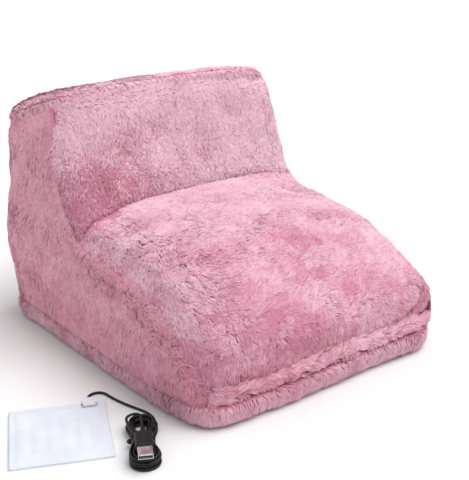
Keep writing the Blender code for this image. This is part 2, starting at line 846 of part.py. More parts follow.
def insert_box(name, outline, low, high, look):
    """Upright prism in the heating insert's frame."""
    return loft(name, [on_insert(level(outline, low)), on_insert(level(outline, high))], look)


def tube(name, points, diameter, resolution, look):
    """Round cord or wire along points."""
    path = bpy.data.curves.new(name, "CURVE")
    path.dimensions = "3D"
    path.bevel_depth = diameter / 2
    path.bevel_resolution = resolution
    path.render_resolution_u = 0
    path.use_fill_caps = True
    line = path.splines.new("POLY")
    line.points.add(len(points) - 1)
    for spot, point in zip(line.points, points):
        spot.co = (*point, 1.0)
    path.materials.append(look)
    made = bpy.data.objects.new(name, path)
    bpy.context.scene.collection.objects.link(made)
    return made


def arc(centre, radius, start, end, steps):
    """Points of an arc in plan, without its first one."""
    points = []
    for k in range(1, steps + 1):
        angle = math.radians(start + (end - start) * k / steps)
        points.append((centre[0] + radius * math.cos(angle),
                       centre[1] + radius * math.sin(angle)))
    return points


def heating_insert(looks):
    """Cloth covers, heater circuit and the moulded joint of the lead."""
    plan = rounded(insert_half_width, insert_half_length, insert_corner)
    bottom = insert_box("pad_bottom_cover", plan, 0.0, insert_cloth, looks["nonwoven"])
    hem_low = insert_cloth + gap
    loops = []
    for inset, z in ((insert_hem + insert_slope + gap, insert_raise),
                     (insert_hem + gap, hem_low), (0.0, hem_low), (0.0, hem_low + insert_cloth),
                     (insert_hem, hem_low + insert_cloth),
                     (insert_hem + insert_slope, insert_raise + insert_cloth)):
        corner = insert_corner * (1 - inset / (2 * insert_half_width) * 8)
        outline = rounded(insert_half_width - inset, insert_half_length - inset, corner)
        loops.append(on_insert(level(outline, z)))
    top = loft("pad_top_cover", loops, looks["nonwoven"])
    notch_low = joint_back_y - gap
    for cover in (bottom, top):
        outline = box_outline(joint_x - joint_half_width - gap, joint_x + joint_half_width + gap,
                              notch_low, joint_front_y)
        cutter = insert_box(cover.name + "_notch", outline, -joint_height, 2 * joint_height,
                            looks["nonwoven"])
        combine(cover, cutter, "DIFFERENCE")
    outline = [(joint_x + x, (joint_back_y + joint_front_y) / 2 + y)
               for x, y in rounded(joint_half_width, (joint_front_y - joint_back_y) / 2,
                                   joint_corner, 2)]
    insert_box("lead_joint", outline, 0.0, joint_height, looks["joint"])
    path = [(wire_first_x, notch_low)]
    for run in range(wire_runs):
        x = wire_first_x - run * wire_pitch
        down = run % 2 == 0
        path.append((x, wire_foot_y if down else wire_head_y))
        if run < wire_runs - 1:
            centre = (x - wire_pitch / 2, path[-1][1])
            turn = -180 if down else 180
            path.extend(arc(centre, wire_pitch / 2, 0, turn, 6))
    last_x = wire_first_x - (wire_runs - 1) * wire_pitch
    path[-1] = (last_x, wire_head_y)
    tube("heating_wire", on_insert([(x, y, wire_z) for x, y in path]), wire_diameter, 1,
         looks["wire"])
    low = wire_head_y + gap
    outline = box_outline(last_x - cutout_width / 2, last_x + cutout_width / 2, low,
                          low + cutout_length)
    insert_box("thermal_cutout", outline, wire_z - cutout_height / 2,
               wire_z + cutout_height / 2, looks["cutout"])
    start = low + cutout_length + gap
    path = [(last_x, start), (last_x, return_y - return_bend)]
    path.extend(arc((last_x + return_bend, return_y - return_bend), return_bend, 180, 90, 4))
    path.append((return_pin_x - return_bend, return_y))
    path.extend(arc((return_pin_x - return_bend, return_y + return_bend), return_bend, -90, 0, 4))
    path.append((return_pin_x, notch_low))
    tube("return_lead", on_insert([(x, y, wire_z) for x, y in path]), wire_diameter, 1,
         looks["return"])


def winding(turns):
    """Place on the hank after a number of turns, in the hank's frame."""
    spot = turns % TURNS_IN_LAYER
    layer = int(turns // TURNS_IN_LAYER)
    k = TURNS_IN_LAYER - spot if layer % 2 == 0 else spot
    radius = hank_cap_radius + hank_pitch * k
    waist = hank_waist + hank_pitch * k
    quarter, share = divmod(4 * (turns % 1), 1)
    if quarter == 0 or quarter == 2:
        side = -1 if quarter == 0 else 1
        x = -side * hank_half_length * (1 - 2 * share)
        y = side * (waist + (radius - waist) * smooth(abs(x) / hank_half_length))
    else:
        side = -1 if quarter == 1 else 1
        angle = math.pi * share
        x = side * (hank_half_length + radius * math.sin(angle))
        y = side * radius * math.cos(angle)
    z = cord_diameter / 2 + cord_lift
    for change in range(1, 4):
        z += hank_layer * smooth(2 * (turns - change * TURNS_IN_LAYER) + 0.5)
    lift = 1 - (abs(x) - hank_hump_core) / (hank_hump_end - hank_hump_core)
    return x, y, z + hank_hump * smooth(lift)


def hank_path():
    """The whole wound length and its climb to the plug."""
    steps = int(HANK_TURNS * LOOP_STEPS)
    points = [winding(k / LOOP_STEPS) for k in range(steps + 1)]
    made = []
    for k, (x, y, z) in enumerate(points):
        if k > steps - LOOP_STEPS / 4:
            climb = (x - tail_climb_start) / (hank_half_length - tail_climb_start)
            z = z + (tail_over_z - z) * smooth(climb)
        made.append((x, y, z))
    end_x, end_y, _ = made[-1]
    bend = arc((end_x, end_y / 2), end_y / 2, 90, -90, 7)
    for k, (x, y) in enumerate(bend):
        made.append((x, y, tail_over_z + (tail_mid_z - tail_over_z) * smooth((k + 1) / 7)))
    stop = relief_start_x + gap
    level_x = stop + 2 * cord_diameter
    for share in (0.25, 0.5, 0.75, 1):
        made.append((end_x + (level_x - end_x) * share, 0.0,
                     tail_mid_z + (plug_z - tail_mid_z) * smooth(share)))
    made.append((stop, 0.0, plug_z))
    return made


def least_clearance(path, diameter):
    """Smallest gap between stretches of one cord that aren't neighbours, and its length."""
    dense = []
    for a, b in zip(path[:-1], path[1:]):
        for k in range(4):
            dense.append(np.asarray(a) + (np.asarray(b) - np.asarray(a)) * k / 4)
    dense = np.array(dense)
    run = np.concatenate([[0], np.cumsum(np.linalg.norm(np.diff(dense, axis=0), axis=1))])
    least = float("inf")
    for k in range(len(dense)):
        far = np.abs(run - run[k]) > 4 * diameter
        distance = np.linalg.norm(dense[far] - dense[k], axis=1)
        least = min(least, float(distance.min()))
    return least - diameter, float(run[-1])


def bezier(a, b, c, d, steps):
    """Cubic curve in plan, without its first point."""
    a, b, c, d = (np.asarray(point, float) for point in (a, b, c, d))
    points = []
    for k in range(1, steps + 1):
        t = k / steps
        mix = a * (1 - t) ** 3 + b * 3 * t * (1 - t) ** 2 + c * 3 * t * t * (1 - t) + d * t ** 3
        points.append(tuple(mix))
    return points


def usb_lead(looks):
    """Free stretch, hank, tie and plug."""
    radius = cord_diameter / 2
    z = radius + cord_lift
    start = [(joint_x, joint_front_y + gap, 0.0),
             (joint_x, joint_front_y + gap + cord_lead_out, 0.0)]
    start = [point[:2] for point in on_insert(start)]
    heading = insert_turn_deg + 90
    side = math.radians(heading - 90)
    centre = (start[1][0] + cord_bend * math.cos(side), start[1][1] + cord_bend * math.sin(side))
    bend = arc(centre, cord_bend, heading + 90, heading - 60, 8)
    goal = [point[:2] for point in on_hank([
        (hank_half_length + gap, winding(0)[1], 0.0),
        (hank_half_length + gap + cord_diameter, winding(0)[1], 0.0),
        (hank_half_length + gap + cord_arrive, winding(0)[1], 0.0)])]
    leave = math.radians(heading - 150)
    ahead = (bend[-1][0] + cord_reach * math.cos(leave), bend[-1][1] + cord_reach * math.sin(leave))
    run = bezier(bend[-1], ahead, goal[2], goal[1], 14)
    path = [(x, y, z) for x, y in start + bend + run + [goal[0]]]
    tube("supply_cord", path, cord_diameter, 2, looks["cord"])
    wound = hank_path()
    clear, length = least_clearance(wound, cord_diameter)
    print("hank least gap mm", round(clear * 1000, 3), "length m", round(length, 3))
    _, free = least_clearance(path, cord_diameter)
    print("free stretch m", round(free, 3))
    tube("cord_hank", on_hank(wound), cord_diameter, 1, looks["cord"])
    wide = hank_waist + TURNS_IN_LAYER * hank_pitch + radius + 2 * gap
    tall = z + 3 * hank_layer + hank_hump + radius + gap
    corner = radius
    loops = []
    for grow, side in ((0.0, -1), (0.0, 1), (tie_thickness, 1), (tie_thickness, -1)):
        low = tie_thickness - grow
        centre_z = (low + tall + grow) / 2
        outline = rounded(wide + grow, (tall + grow - low) / 2, corner + grow)
        loops.append(on_hank([(side * tie_half_width, y, centre_z + up) for y, up in outline]))
    tie = loft("cord_tie", loops, looks["tie"], closed=True)
    knot = []
    for degrees in (20, 60, 90, 120, 160):
        angle = math.radians(degrees)
        ring = rounded(tie_knot_radius * math.sin(angle), tie_knot_radius * math.sin(angle),
                       tie_knot_radius * math.sin(angle) * 0.9, 2)
        y = wide + tie_thickness + tie_knot_radius / 2 - tie_knot_radius * math.cos(angle)
        knot.append(on_hank([(a, y, tall / 2 + b) for a, b in ring]))
    combine(tie, loft("tie_knot", knot, looks["tie"]), "UNION")
    plug(looks)


def plug(looks):
    """USB plug, pointing towards the hank's near end."""
    end = relief_start_x - relief_length
    loops = []
    for share in (0, 0.34, 0.67, 1):
        radius = relief_thin_radius + (relief_thick_radius - relief_thin_radius) * share
        x = relief_start_x - relief_length * share
        loops.append(on_hank([(x, y, plug_z + up) for y, up in
                              rounded(radius, radius, radius * 0.98, 3)]))
    loft("plug_strain_relief", loops, looks["plug"])
    high = end - gap
    low = high - overmould_length
    shrink = overmould_corner / 2
    loops = []
    for x, less in ((high, shrink), (high - shrink, 0.0), (low + shrink, 0.0), (low, shrink)):
        outline = rounded(overmould_half_width - less, overmould_half_height - less,
                          overmould_corner - less, 3)
        loops.append(on_hank([(x, y, plug_z + up) for y, up in outline]))
    loft("plug_overmould", loops, looks["plug"])
    high = low - gap
    low = high - shell_length
    outer = rounded(shell_half_width, shell_half_height, shell_wall, 2)
    inner = rounded(shell_half_width - shell_wall, shell_half_height - shell_wall,
                    shell_wall / 2, 2)
    loops = []
    for outline, x in ((outer, low), (outer, high), (inner, high), (inner, low)):
        loops.append(on_hank([(x, y, plug_z + up) for y, up in outline]))
    loft("plug_shell", loops, looks["shell"], closed=True)
    top = shell_half_height - shell_wall - gap
    middle = plug_z + top - tongue_thickness / 2
    loops = []
    for x in (high, high - tongue_length):
        outline = box_outline(-tongue_half_width, tongue_half_width,
                              middle - tongue_thickness / 2, middle + tongue_thickness / 2)
        loops.append(on_hank([(x, y, up) for y, up in outline]))
    loft("plug_tongue", loops, looks["tongue"])
    far = high - gap
    bar = far - contact_width
    outline = [(far, -1.5 * contact_pitch - contact_width / 2),
               (far, 1.5 * contact_pitch + contact_width / 2)]
    for k in (1.5, 0.5, -0.5, -1.5):
        high_y = k * contact_pitch + contact_width / 2
        low_y = k * contact_pitch - contact_width / 2
        if k < 1.5:
            outline.append((bar, high_y))
        outline.append((far - contact_length, high_y))
        outline.append((far - contact_length, low_y))
        if k > -1.5:
            outline.append((bar, low_y))
    roof = middle - tongue_thickness / 2 - gap
    loft("plug_contacts", [on_hank(level(outline, roof - contact_thickness)),
                           on_hank(level(outline, roof))], looks["contact"])


def build():
    """The whole part."""
    clear_scene()
    looks = {
        "plush": surface("pink_plush", (0.76, 0.40, 0.50), 0.95),
        "wadding": surface("white_wadding", (0.86, 0.85, 0.82), 0.95),
        "lining": surface("pink_lining", (0.84, 0.55, 0.62), 0.95),
        "outsole": surface("grey_outsole_cloth", (0.20, 0.19, 0.20), 0.9),
        "foam": surface("foam", (0.88, 0.84, 0.70), 0.9),
        "sleeve": surface("sleeve_cloth", (0.80, 0.62, 0.66), 0.9),
        "tape": surface("zip_tape", (0.80, 0.50, 0.58), 0.85),
        "teeth": surface("zip_teeth", (0.85, 0.62, 0.68), 0.45),
        "metal": surface("zip_metal", (0.62, 0.62, 0.64), 0.3, 1.0),
        "pull": surface("pull_metal", (0.60, 0.60, 0.62), 0.3, 1.0),
        "nonwoven": surface("white_nonwoven", (0.85, 0.88, 0.93), 0.9),
        "wire": surface("heating_wire_jacket", (0.75, 0.16, 0.12), 0.5),
        "return": surface("return_lead_jacket", (0.88, 0.88, 0.86), 0.5),
        "cutout": surface("cutout_case", (0.10, 0.10, 0.11), 0.5),
        "joint": surface("joint_moulding", (0.04, 0.04, 0.045), 0.5),
        "cord": surface("cord_jacket", (0.035, 0.035, 0.04), 0.45),
        "tie": surface("tie_coating", (0.05, 0.05, 0.055), 0.5),
        "plug": surface("plug_moulding", (0.035, 0.035, 0.04), 0.5),
        "shell": surface("plug_steel", (0.75, 0.76, 0.78), 0.25, 1.0),
        "tongue": surface("plug_insulator", (0.85, 0.86, 0.88), 0.5),
        "contact": surface("plug_contact_metal", (0.83, 0.62, 0.30), 0.3, 1.0),
    }
    outside = Face(wall_inset, (crease_y, crease_z), crease_rise, corner_radius - wall_inset,
                   (rim_front_radius, rim_back_radius), 0.0, TOE_CROWN_SHARES)
    inset = wall_inset + wall_thickness
    inside = Face(inset, (inner_crease_y, inner_crease_z), inner_crease_rise,
                  corner_radius - inset, (rim_inner_front_radius, rim_inner_back_radius),
                  wall_thickness, TOE_LINING_SHARES)
    sole(outside, inside, looks)
    boot_panels(outside, inside, looks)
    rim_roll(outside, inside, looks["lining"])
    zip_fastener(looks)
    zip_slider(looks)
    heating_insert(looks)
    usb_lead(looks)


build()
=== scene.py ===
"""Looks of the electric foot warmer: a plush boot, its heating insert and the tied USB lead."""
import math

import bpy
import numpy as np
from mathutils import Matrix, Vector


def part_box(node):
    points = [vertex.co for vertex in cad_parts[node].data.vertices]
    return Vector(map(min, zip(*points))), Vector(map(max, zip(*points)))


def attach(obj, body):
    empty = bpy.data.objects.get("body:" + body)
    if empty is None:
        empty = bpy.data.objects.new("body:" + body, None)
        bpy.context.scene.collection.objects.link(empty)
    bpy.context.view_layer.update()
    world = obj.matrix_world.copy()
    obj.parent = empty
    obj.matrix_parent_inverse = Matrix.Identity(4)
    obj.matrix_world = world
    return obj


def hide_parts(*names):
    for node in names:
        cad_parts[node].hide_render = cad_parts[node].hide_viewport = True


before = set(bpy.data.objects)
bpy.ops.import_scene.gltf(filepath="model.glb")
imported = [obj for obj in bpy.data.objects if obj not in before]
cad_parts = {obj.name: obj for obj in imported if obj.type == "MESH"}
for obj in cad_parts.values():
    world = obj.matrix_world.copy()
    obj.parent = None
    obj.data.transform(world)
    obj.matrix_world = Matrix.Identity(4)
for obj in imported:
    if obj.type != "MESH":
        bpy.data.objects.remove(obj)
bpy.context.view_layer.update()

# Camera, as fitted to the photograph
CAMERA_AT = (-0.5351, -0.6905, 0.4172)
CAMERA_TURN, CAMERA_RISE = -39.4, 20.1
CAMERA_LENS, CAMERA_SENSOR = 66.4, 36

# Light: a sun's strength, spread in degrees and direction, and the sky's strength as light and as
# the eye sees it
KEY_STRENGTH, KEY_SPREAD, KEY_FROM = 1.95, 50, (0.40, -0.30, 0.95)
SKY_LIGHT, SKY_SEEN = 0.57, 1.0

# Boot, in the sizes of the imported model
HALF_WIDTH, HALF_LENGTH, CORNER = 0.150, 0.182, 0.036
BORDER_TOP = 0.022
FOOT = BORDER_TOP + 0.00015
RIM = {"wide": 0.135, "front": 0.074, "back": 0.176, "z": 0.249, "drop": 0.024}
FRONT_TOP = 0.038
# Seams and middle lines from the side, as shares of their run and of their rise or fall
COLLAR_SHARES = np.array([(0, 0), (.25, .11), (.47, .24), (.66, .40), (.81, .58), (.92, .79),
                          (1, 1)])
TOE_SEAM_SHARES = np.array([(0, 0), (.24, .14), (.43, .18), (.58, .26), (.71, .36), (.82, .54),
                            (.92, .74), (.965, .87), (1, 1)])
TOE_CROWN_SHARES = np.array([(0, 0), (.23, .035), (.42, .08), (.59, .14), (.74, .245),
                             (.875, .40), (.98, .61), (1.02, .81), (1, 1)])
TOE_LINING_SHARES = np.array([(0, 0), (.255, .045), (.43, .10), (.59, .18), (.73, .30),
                              (.86, .48), (.955, .70), (.985, .87), (1, 1)])
# Places of a side panel's columns along its foot
SIDE_FOOT_SHARES = np.array([.095, .17, .21, .245, .28, .315, .345, .385, .43, .55, .66, .77,
                             .855, .935])
ROWS = 6
MIRROR = np.array([-1.0, 1.0, 1.0])
CREASE_Y, CREASE_Z = 0.026, 0.124

# Filling: how far it moves the sewn shape, and how the rim hangs
SHANK_PUSH, BACK_PUSH = 0.006, 0.006
RIGHT_TOE_PUSH, RIGHT_TOE_FORWARD, LEFT_TOE_TUCK = 0.009, 0.005, 0.0045
RIM_BOW, RIM_CORNER_DROP, REAR_CORNER_DROP = 0.004, 0.005, 0.007
FOOT_FILL, SHOULDER_FILL = 0.0065, 0.0105
TOE_CORNER_FILL = 0.6 * FOOT_FILL

# Crease between shin and toe: how far it is raised on the right, the shares of that forwards and
# up, and its width
CREASE_LIFT, CREASE_FORWARD, CREASE_UP, CREASE_WIDTH = 0.0050, 0.5, 0.85, 0.010
# Fold by the right toe corner: its ends and its bow in x and z, its width and its depth
FOLD_START, FOLD_END, FOLD_BOW = (0.127, 0.064), (0.107, 0.042), (0.0040, -0.0040)
FOLD_WIDTH, FOLD_DEPTH = 0.0045, 0.0042
# Slot round the zip: half its width, its top and the width of its edge; then half the width and
# the top of the field that the pile keeps off
SLOT_HALF, SLOT_TOP, SLOT_EDGE = 0.0865, 0.0375, 0.003
BARE_HALF, BARE_TOP = 0.088, 0.040

# Layers of a wall: how deep the cover's backing lies under the outline, then thicknesses and
# distances of the cloths and the filling
PILE_DEPTH, COVER_CLOTH, COVER_TO_FILLING = 0.0030, 0.0010, 0.0014
LINING_PILE, LINING_BACK, LINING_TO_FILLING = 0.0012, 0.0030, 0.0034
LINING_TUFTS = {"length": 0.0045, "width": 0.0012, "clump": 0.005}
SEAM_GAP = 0.0003
FLOOR_GAP = 0.00005

# Colour of a backing cloth in the pile's terms: below a tuft's root, and of a low tone, as painted
# shade where the backing shows in the seams
SHADED_BACKING = {"rise": -0.4, "tone": 0.1}
# How clumps of tufts differ. Sizes of noise in metres; swirl and turn against a flow of length one
CLUMP = {"warp_size": 0.02, "warp": 0.35, "swirl_size": 0.05, "swirl": 0.45, "turn": 0.13,
         "short": 0.85, "long": 1.10, "tone_size": 0.03, "tone": 0.16, "own_tone": 0.07}
# How tufts differ. Depth of the root and least height of the tip in metres; pull is the share
# by which a tip is drawn to its clump's, bend the share of the length at which a tuft bows
TUFT = {"root": 0.0006, "floor": 0.0012, "short": 0.75, "long": 1.15, "narrow": 0.7,
        "broad": 1.2, "pull": 0.20, "pull_spread": 0.12, "pull_most": 0.5, "roll": 0.30,
        "bend": 0.45, "bow": 0.06, "rounded": 0.35, "tip_light": 0.3, "uneven": 0.12}
# Rectangles of the map: tufts in the lower half, cloth in the upper one, and a tuft's two faces
# in its own square
PILE_CHART, CLOTH_CHART = ((0.0, 0.0), (1.0, 0.5)), ((0.0, 0.5), (1.0, 1.0))
CHART_GAP = 0.004
TUFT_CHART = np.array([(0.5, 0.1), (0.9, 0.45), (0.1, 0.45), (0.1, 0.5), (0.9, 0.5), (0.5, 0.9)])


# Shader maths

class Value:
    """A number or colour on a socket; Python's operators add Math nodes to its finish."""

    def __init__(self, finish, socket):
        self.finish = finish
        self.socket = socket

    def maths(self, operation, *numbers):
        """A Math node of an operation on values and numbers."""
        return self.finish.node("ShaderNodeMath", {"operation": operation}, list(numbers))

    def __add__(self, other):
        return self.maths("ADD", self, other)

    __radd__ = __add__

    def __sub__(self, other):
        return self.maths("SUBTRACT", self, other)

    def __rsub__(self, other):
        return self.maths("SUBTRACT", other, self)

    def __mul__(self, other):
        return self.maths("MULTIPLY", self, other)

    __rmul__ = __mul__


class Finish:
    """One material; its shader's fixed sockets are set here, and node() adds any other node."""

    def __init__(self, name, colour, roughness, **fixed):
        self.material = bpy.data.materials.new(name)
        self.material.use_nodes = True
        self.tree = self.material.node_tree
        self.shader = self.tree.nodes["Principled BSDF"]
        self.shader.inputs["Base Color"].default_value = (*colour, 1.0)
        self.shader.inputs["Roughness"].default_value = roughness
        for socket, number in fixed.items():
            self.shader.inputs[socket.replace("_", " ")].default_value = number

    def plug(self, socket, given):
        """Links a value to a socket, or sets the socket to a plain number or colour."""
        if isinstance(given, Value):
            self.tree.links.new(given.socket, socket)
        else:
            socket.default_value = given

    def node(self, kind, settings, inputs, output=0):
        """A node of a type, its settings first, then the values or links of its sockets."""
        made = self.tree.nodes.new(kind)
        for key, setting in settings.items():
            setattr(made, key, setting)
        pairs = inputs.items() if isinstance(inputs, dict) else enumerate(inputs)
        for key, given in pairs:
            self.plug(made.inputs[key], given)
        return Value(self, made.outputs[output])

    def place(self):
        """Place on the piece in metres, from the origin."""
        return self.node("ShaderNodeTexCoord", {}, [], "Object")

    def grain(self, scale, detail=2.0, roughness=0.5, stretch=(1, 1, 1), turn=(0, 0, 0)):
        """Noise at a number of grains a metre."""
        at = self.node("ShaderNodeMapping", {}, {0: self.place(), 2: turn, 3: stretch})
        return self.node("ShaderNodeTexNoise", {}, {"Vector": at, "Scale": scale,
                                                    "Detail": detail, "Roughness": roughness})

    def given(self, name):
        """A number that the piece's mesh carries."""
        return self.node("ShaderNodeAttribute", {"attribute_name": name}, [], "Fac")

    def blend(self, share, first, second):
        """Mix of two colours, the share of the second held between 0 and 1."""
        first, second = ((*given, 1.0) if isinstance(given, tuple) else given
                         for given in (first, second))
        return self.node("ShaderNodeMix", {"data_type": "RGBA", "clamp_factor": True},
                         {0: share, 6: first, 7: second}, 2)

    def clamp(self, given, low, high, to_low=0.0, to_high=1.0):
        """Range of a number stretched to another range and held inside it."""
        return self.node("ShaderNodeMapRange", {}, {0: given, 1: low, 2: high, 3: to_low,
                                                    4: to_high})

    def colour(self, given):
        """Varies the base colour."""
        self.plug(self.shader.inputs["Base Color"], given)
        return self

    def rough(self, given):
        """Varies the roughness."""
        self.plug(self.shader.inputs["Roughness"], given)
        return self

    def bump(self, height, distance):
        """Relief in the light: a height from 0 to 1 stands for a distance in metres."""
        made = self.node("ShaderNodeBump", {}, {"Strength": 1.0, "Distance": distance,
                                                "Height": height})
        self.plug(self.shader.inputs["Normal"], made)
        return self


def plush(name, root, middle, tip, patch):
    """Pile: darker at its roots and lighter at its tips, partly its own colour and partly painted
    shade deep in the pile, with patches and a tone for each tuft. rise runs from 0 at a tuft's
    root to 1 at its tip and lies below 0 on the backing; a tone under 0.5 mixes in the root's
    colour, one over 0.5 the tip's, and the tone also dims or brightens the whole. Where a piece
    gives it, the tone carries painted light and shade."""
    made = Finish(name, middle, 0.9, Specular_IOR_Level=0.15, Sheen_Weight=0.06,
                  Sheen_Roughness=0.6)
    rise = made.given("rise")
    tone = made.given("tone")
    patches = made.clamp(made.grain(14, 3.0, 0.6), 0.40, 0.62)
    fine = made.clamp(made.grain(90, 2.0), 0.3, 0.7)
    # Root to tip: darker deep in the pile, partly the pile's own colour and partly painted shade
    body = made.blend(made.clamp(rise, -0.4, 0.5), root, middle)
    body = made.blend(made.clamp(rise, 0.45, 1.0), body, tip)
    body = made.blend((1 - patches) * patch, body, root)
    body = made.blend(fine * 0.25, body, tip)
    # Tone: a random spread from clump to clump, and where a piece gives it, painted light and
    # shade
    body = made.blend(made.clamp(tone, 0.0, 0.5, 0.9, 0.0), body, root)
    body = made.blend(made.clamp(tone, 0.5, 1.0, 0.0, 0.8), body, tip)
    light = made.clamp(tone, 0.0, 1.0, 0.90, 1.04)
    scaled = made.node("ShaderNodeVectorMath", {"operation": "SCALE"}, {0: body, 3: light})
    made.colour(scaled)
    made.rough(made.clamp(made.grain(60), 0.2, 0.8, 0.82, 0.98))
    return made.material


def fibre(name, colour, dark):
    """Loose filling or foam: cloudy colour over a crumpled fibre bump."""
    made = Finish(name, colour, 0.95)
    wisps = made.grain(220, 5.0, 0.7)
    made.colour(made.blend(made.clamp(wisps, 0.35, 0.65), dark, colour))
    return made.bump(wisps, 0.0012).material


def weave(name, colour, dark, threads):
    """Plain weave: crossed sine ridges at a number of threads a metre."""
    made = Finish(name, colour, 0.85, Sheen_Weight=0.15)
    apart = made.node("ShaderNodeSeparateXYZ", {}, [made.place()]).socket.node
    waves = []
    for axis in apart.outputs:
        line = Value(made, axis) * (math.tau * threads)
        waves.append(line.maths("SINE", line))
    cross = (waves[0] * waves[2] + waves[0] * waves[1]) * 0.5 + 0.5
    mottle = made.grain(40, 3.0)
    made.colour(made.blend(cross * 0.5 + mottle * 0.4, dark, colour))
    return made.bump(cross, 0.0003).material


def dotted(name, colour, dot, pitch):
    """Anti-slip cloth: raised dots on a square pitch over a fine weave."""
    made = Finish(name, colour, 0.8)
    at = made.node("ShaderNodeVectorMath", {"operation": "SCALE"},
                   {0: made.place(), 3: 1 / pitch})
    cell = made.node("ShaderNodeVectorMath", {"operation": "FRACTION"}, [at])
    flat = made.node("ShaderNodeVectorMath", {"operation": "SUBTRACT"}, [cell, (0.5, 0.5, 0.5)])
    flat = made.node("ShaderNodeVectorMath", {"operation": "MULTIPLY"}, [flat, (1, 1, 0)])
    away = made.node("ShaderNodeVectorMath", {"operation": "LENGTH"}, [flat], "Value")
    spot = 1 - made.clamp(away, 0.24, 0.30)
    threads = made.grain(900, 2.0)
    made.colour(made.blend(spot, made.blend(threads, colour, (0.30, 0.29, 0.30)), dot))
    made.rough(made.clamp(spot, 0, 1, 0.9, 0.55))
    return made.bump(spot + threads * 0.15, 0.0005).material


def moulded(name, colour, roughness, grain=900, depth=0.00006, shine=0.5):
    """Plastic or rubber: a faint moulding grain, and handling marks in its gloss."""
    made = Finish(name, colour, roughness, Specular_IOR_Level=shine)
    marks = made.grain(70, 4.0, 0.6)
    handled = 0.075
    made.rough(made.clamp(marks, 0.3, 0.7, roughness - handled, roughness + handled))
    light = tuple(min(1.0, c * 1.3 + 0.002) for c in colour)
    made.colour(made.blend(made.clamp(marks, 0.35, 0.75) * 0.6, colour, light))
    return made.bump(made.grain(grain, 3.0), depth).material


def metal(name, colour, roughness):
    """Plated steel: fine scratches drawn along its length, and a cloudy gloss."""
    made = Finish(name, colour, roughness, Metallic=1.0)
    lines = made.grain(1.0, 3.0, 0.7, stretch=(40, 900, 900))
    cloud = made.grain(180, 2.0)
    made.rough(made.clamp(lines * 0.5 + cloud * 0.5, 0.3, 0.7, roughness - 0.08,
                          roughness + 0.12))
    dark = tuple(c * 0.8 for c in colour)
    made.colour(made.blend(made.clamp(cloud, 0.3, 0.7), dark, colour))
    return made.bump(lines, 0.00002).material


def nonwoven(name):
    """Pressed fibre cloth: bonded dimples, stray fibres and a faint blue cast."""
    made = Finish(name, (0.80, 0.84, 0.93), 0.85, Sheen_Weight=0.1)
    pits = made.node("ShaderNodeTexVoronoi", {}, {"Vector": made.place(), "Scale": 900})
    hairs = made.grain(1.0, 4.0, 0.7, stretch=(500, 120, 300), turn=(0, 0, -0.45))
    cloud = made.grain(45, 3.0)
    body = made.blend(made.clamp(cloud, 0.35, 0.65), (0.76, 0.81, 0.92), (0.83, 0.87, 0.94))
    made.colour(made.blend(made.clamp(hairs, 0.45, 0.75) * 0.4, body, (0.90, 0.92, 0.96)))
    return made.bump(pits * 0.6 + hairs * 0.6, 0.00015).material


# Surfaces

def smooth(share):
    """Eased step: 3 s squared minus 2 s cubed, with s held between 0 and 1."""
    share = np.clip(share, 0, 1)
    return share * share * (3 - 2 * share)


def ramp(value, start, end):
    """Eased step between two places: 0 at the start, 1 at the end, which may lie below it."""
    return smooth((value - start) / (end - start))


def steep(share):
    """How high an arch stands at a share of its half width: (1 - |s| cubed) to the 0.45."""
    return np.maximum(1 - np.abs(share) ** 3, 0) ** 0.45


def fullness(share):
    """How far a filled panel has swollen between two seams: (1 - |2 s - 1| cubed) to the 0.6."""
    return np.maximum(1 - np.abs(2 * share - 1) ** 3, 0) ** 0.6


def ruled(low, high, rows):
    """Straight columns between two lines."""
    shares = np.linspace(0, 1, rows + 1)[None, :, None]
    return low[:, None, :] * (1 - shares) + high[:, None, :] * shares


def refine(grid, times):
    """Smooth cubic curve through the points of the first axis, cut into so many parts a span.
    Its slope at a point is half the step from the point before to the one after."""
    first = 2 * grid[:1] - grid[1:2]
    last = 2 * grid[-1:] - grid[-2:-1]
    g = np.concatenate([first, grid, last])
    spans = len(grid) - 1
    t = (np.arange(times) / times)[None, :].reshape((1, times) + (1,) * (grid.ndim - 1))
    a, b, c, d = (g[k:k + spans][:, None] for k in range(4))
    made = 0.5 * (2 * b + (c - a) * t + (2 * a - 5 * b + 4 * c - d) * t * t
                  + (3 * b - a - 3 * c + d) * t ** 3)
    made = made.reshape((spans * times,) + grid.shape[1:])
    return np.concatenate([made, grid[-1:]])


def fine(grid, across, along):
    """The same surface with more columns and rows."""
    made = refine(grid, across)
    return np.swapaxes(refine(np.swapaxes(made, 0, 1), along), 0, 1)


def normals(grid, inner):
    """Unit normals of a grid: cross product of its two directions, pointing away from inner."""
    across = np.gradient(grid, axis=0)
    along = np.gradient(grid, axis=1)
    made = np.cross(across, along)
    made /= np.maximum(np.linalg.norm(made, axis=2, keepdims=True), 1e-12)
    middle = tuple(size // 2 for size in grid.shape[:2])
    if np.dot(made[middle], grid[middle] - inner[middle]) < 0:
        made = -made
    return made


def bowed(points):
    """Wall after its rim has bowed up in the middle and dropped at the corners: its drop grows
    with the fourth power of the share of half the width, and eases in above the crease."""
    made = np.array(points, float)
    x, y, z = made[..., 0], made[..., 1], made[..., 2]
    high = ramp(z, CREASE_Z, RIM["z"] - RIM["drop"])
    rear = ramp(y, RIM["front"], RIM["back"])
    drop = (RIM_BOW + RIM_CORNER_DROP + REAR_CORNER_DROP * rear) * (np.abs(x) / RIM["wide"]) ** 4
    made[..., 2] = z + (RIM_BOW - drop) * high
    return made


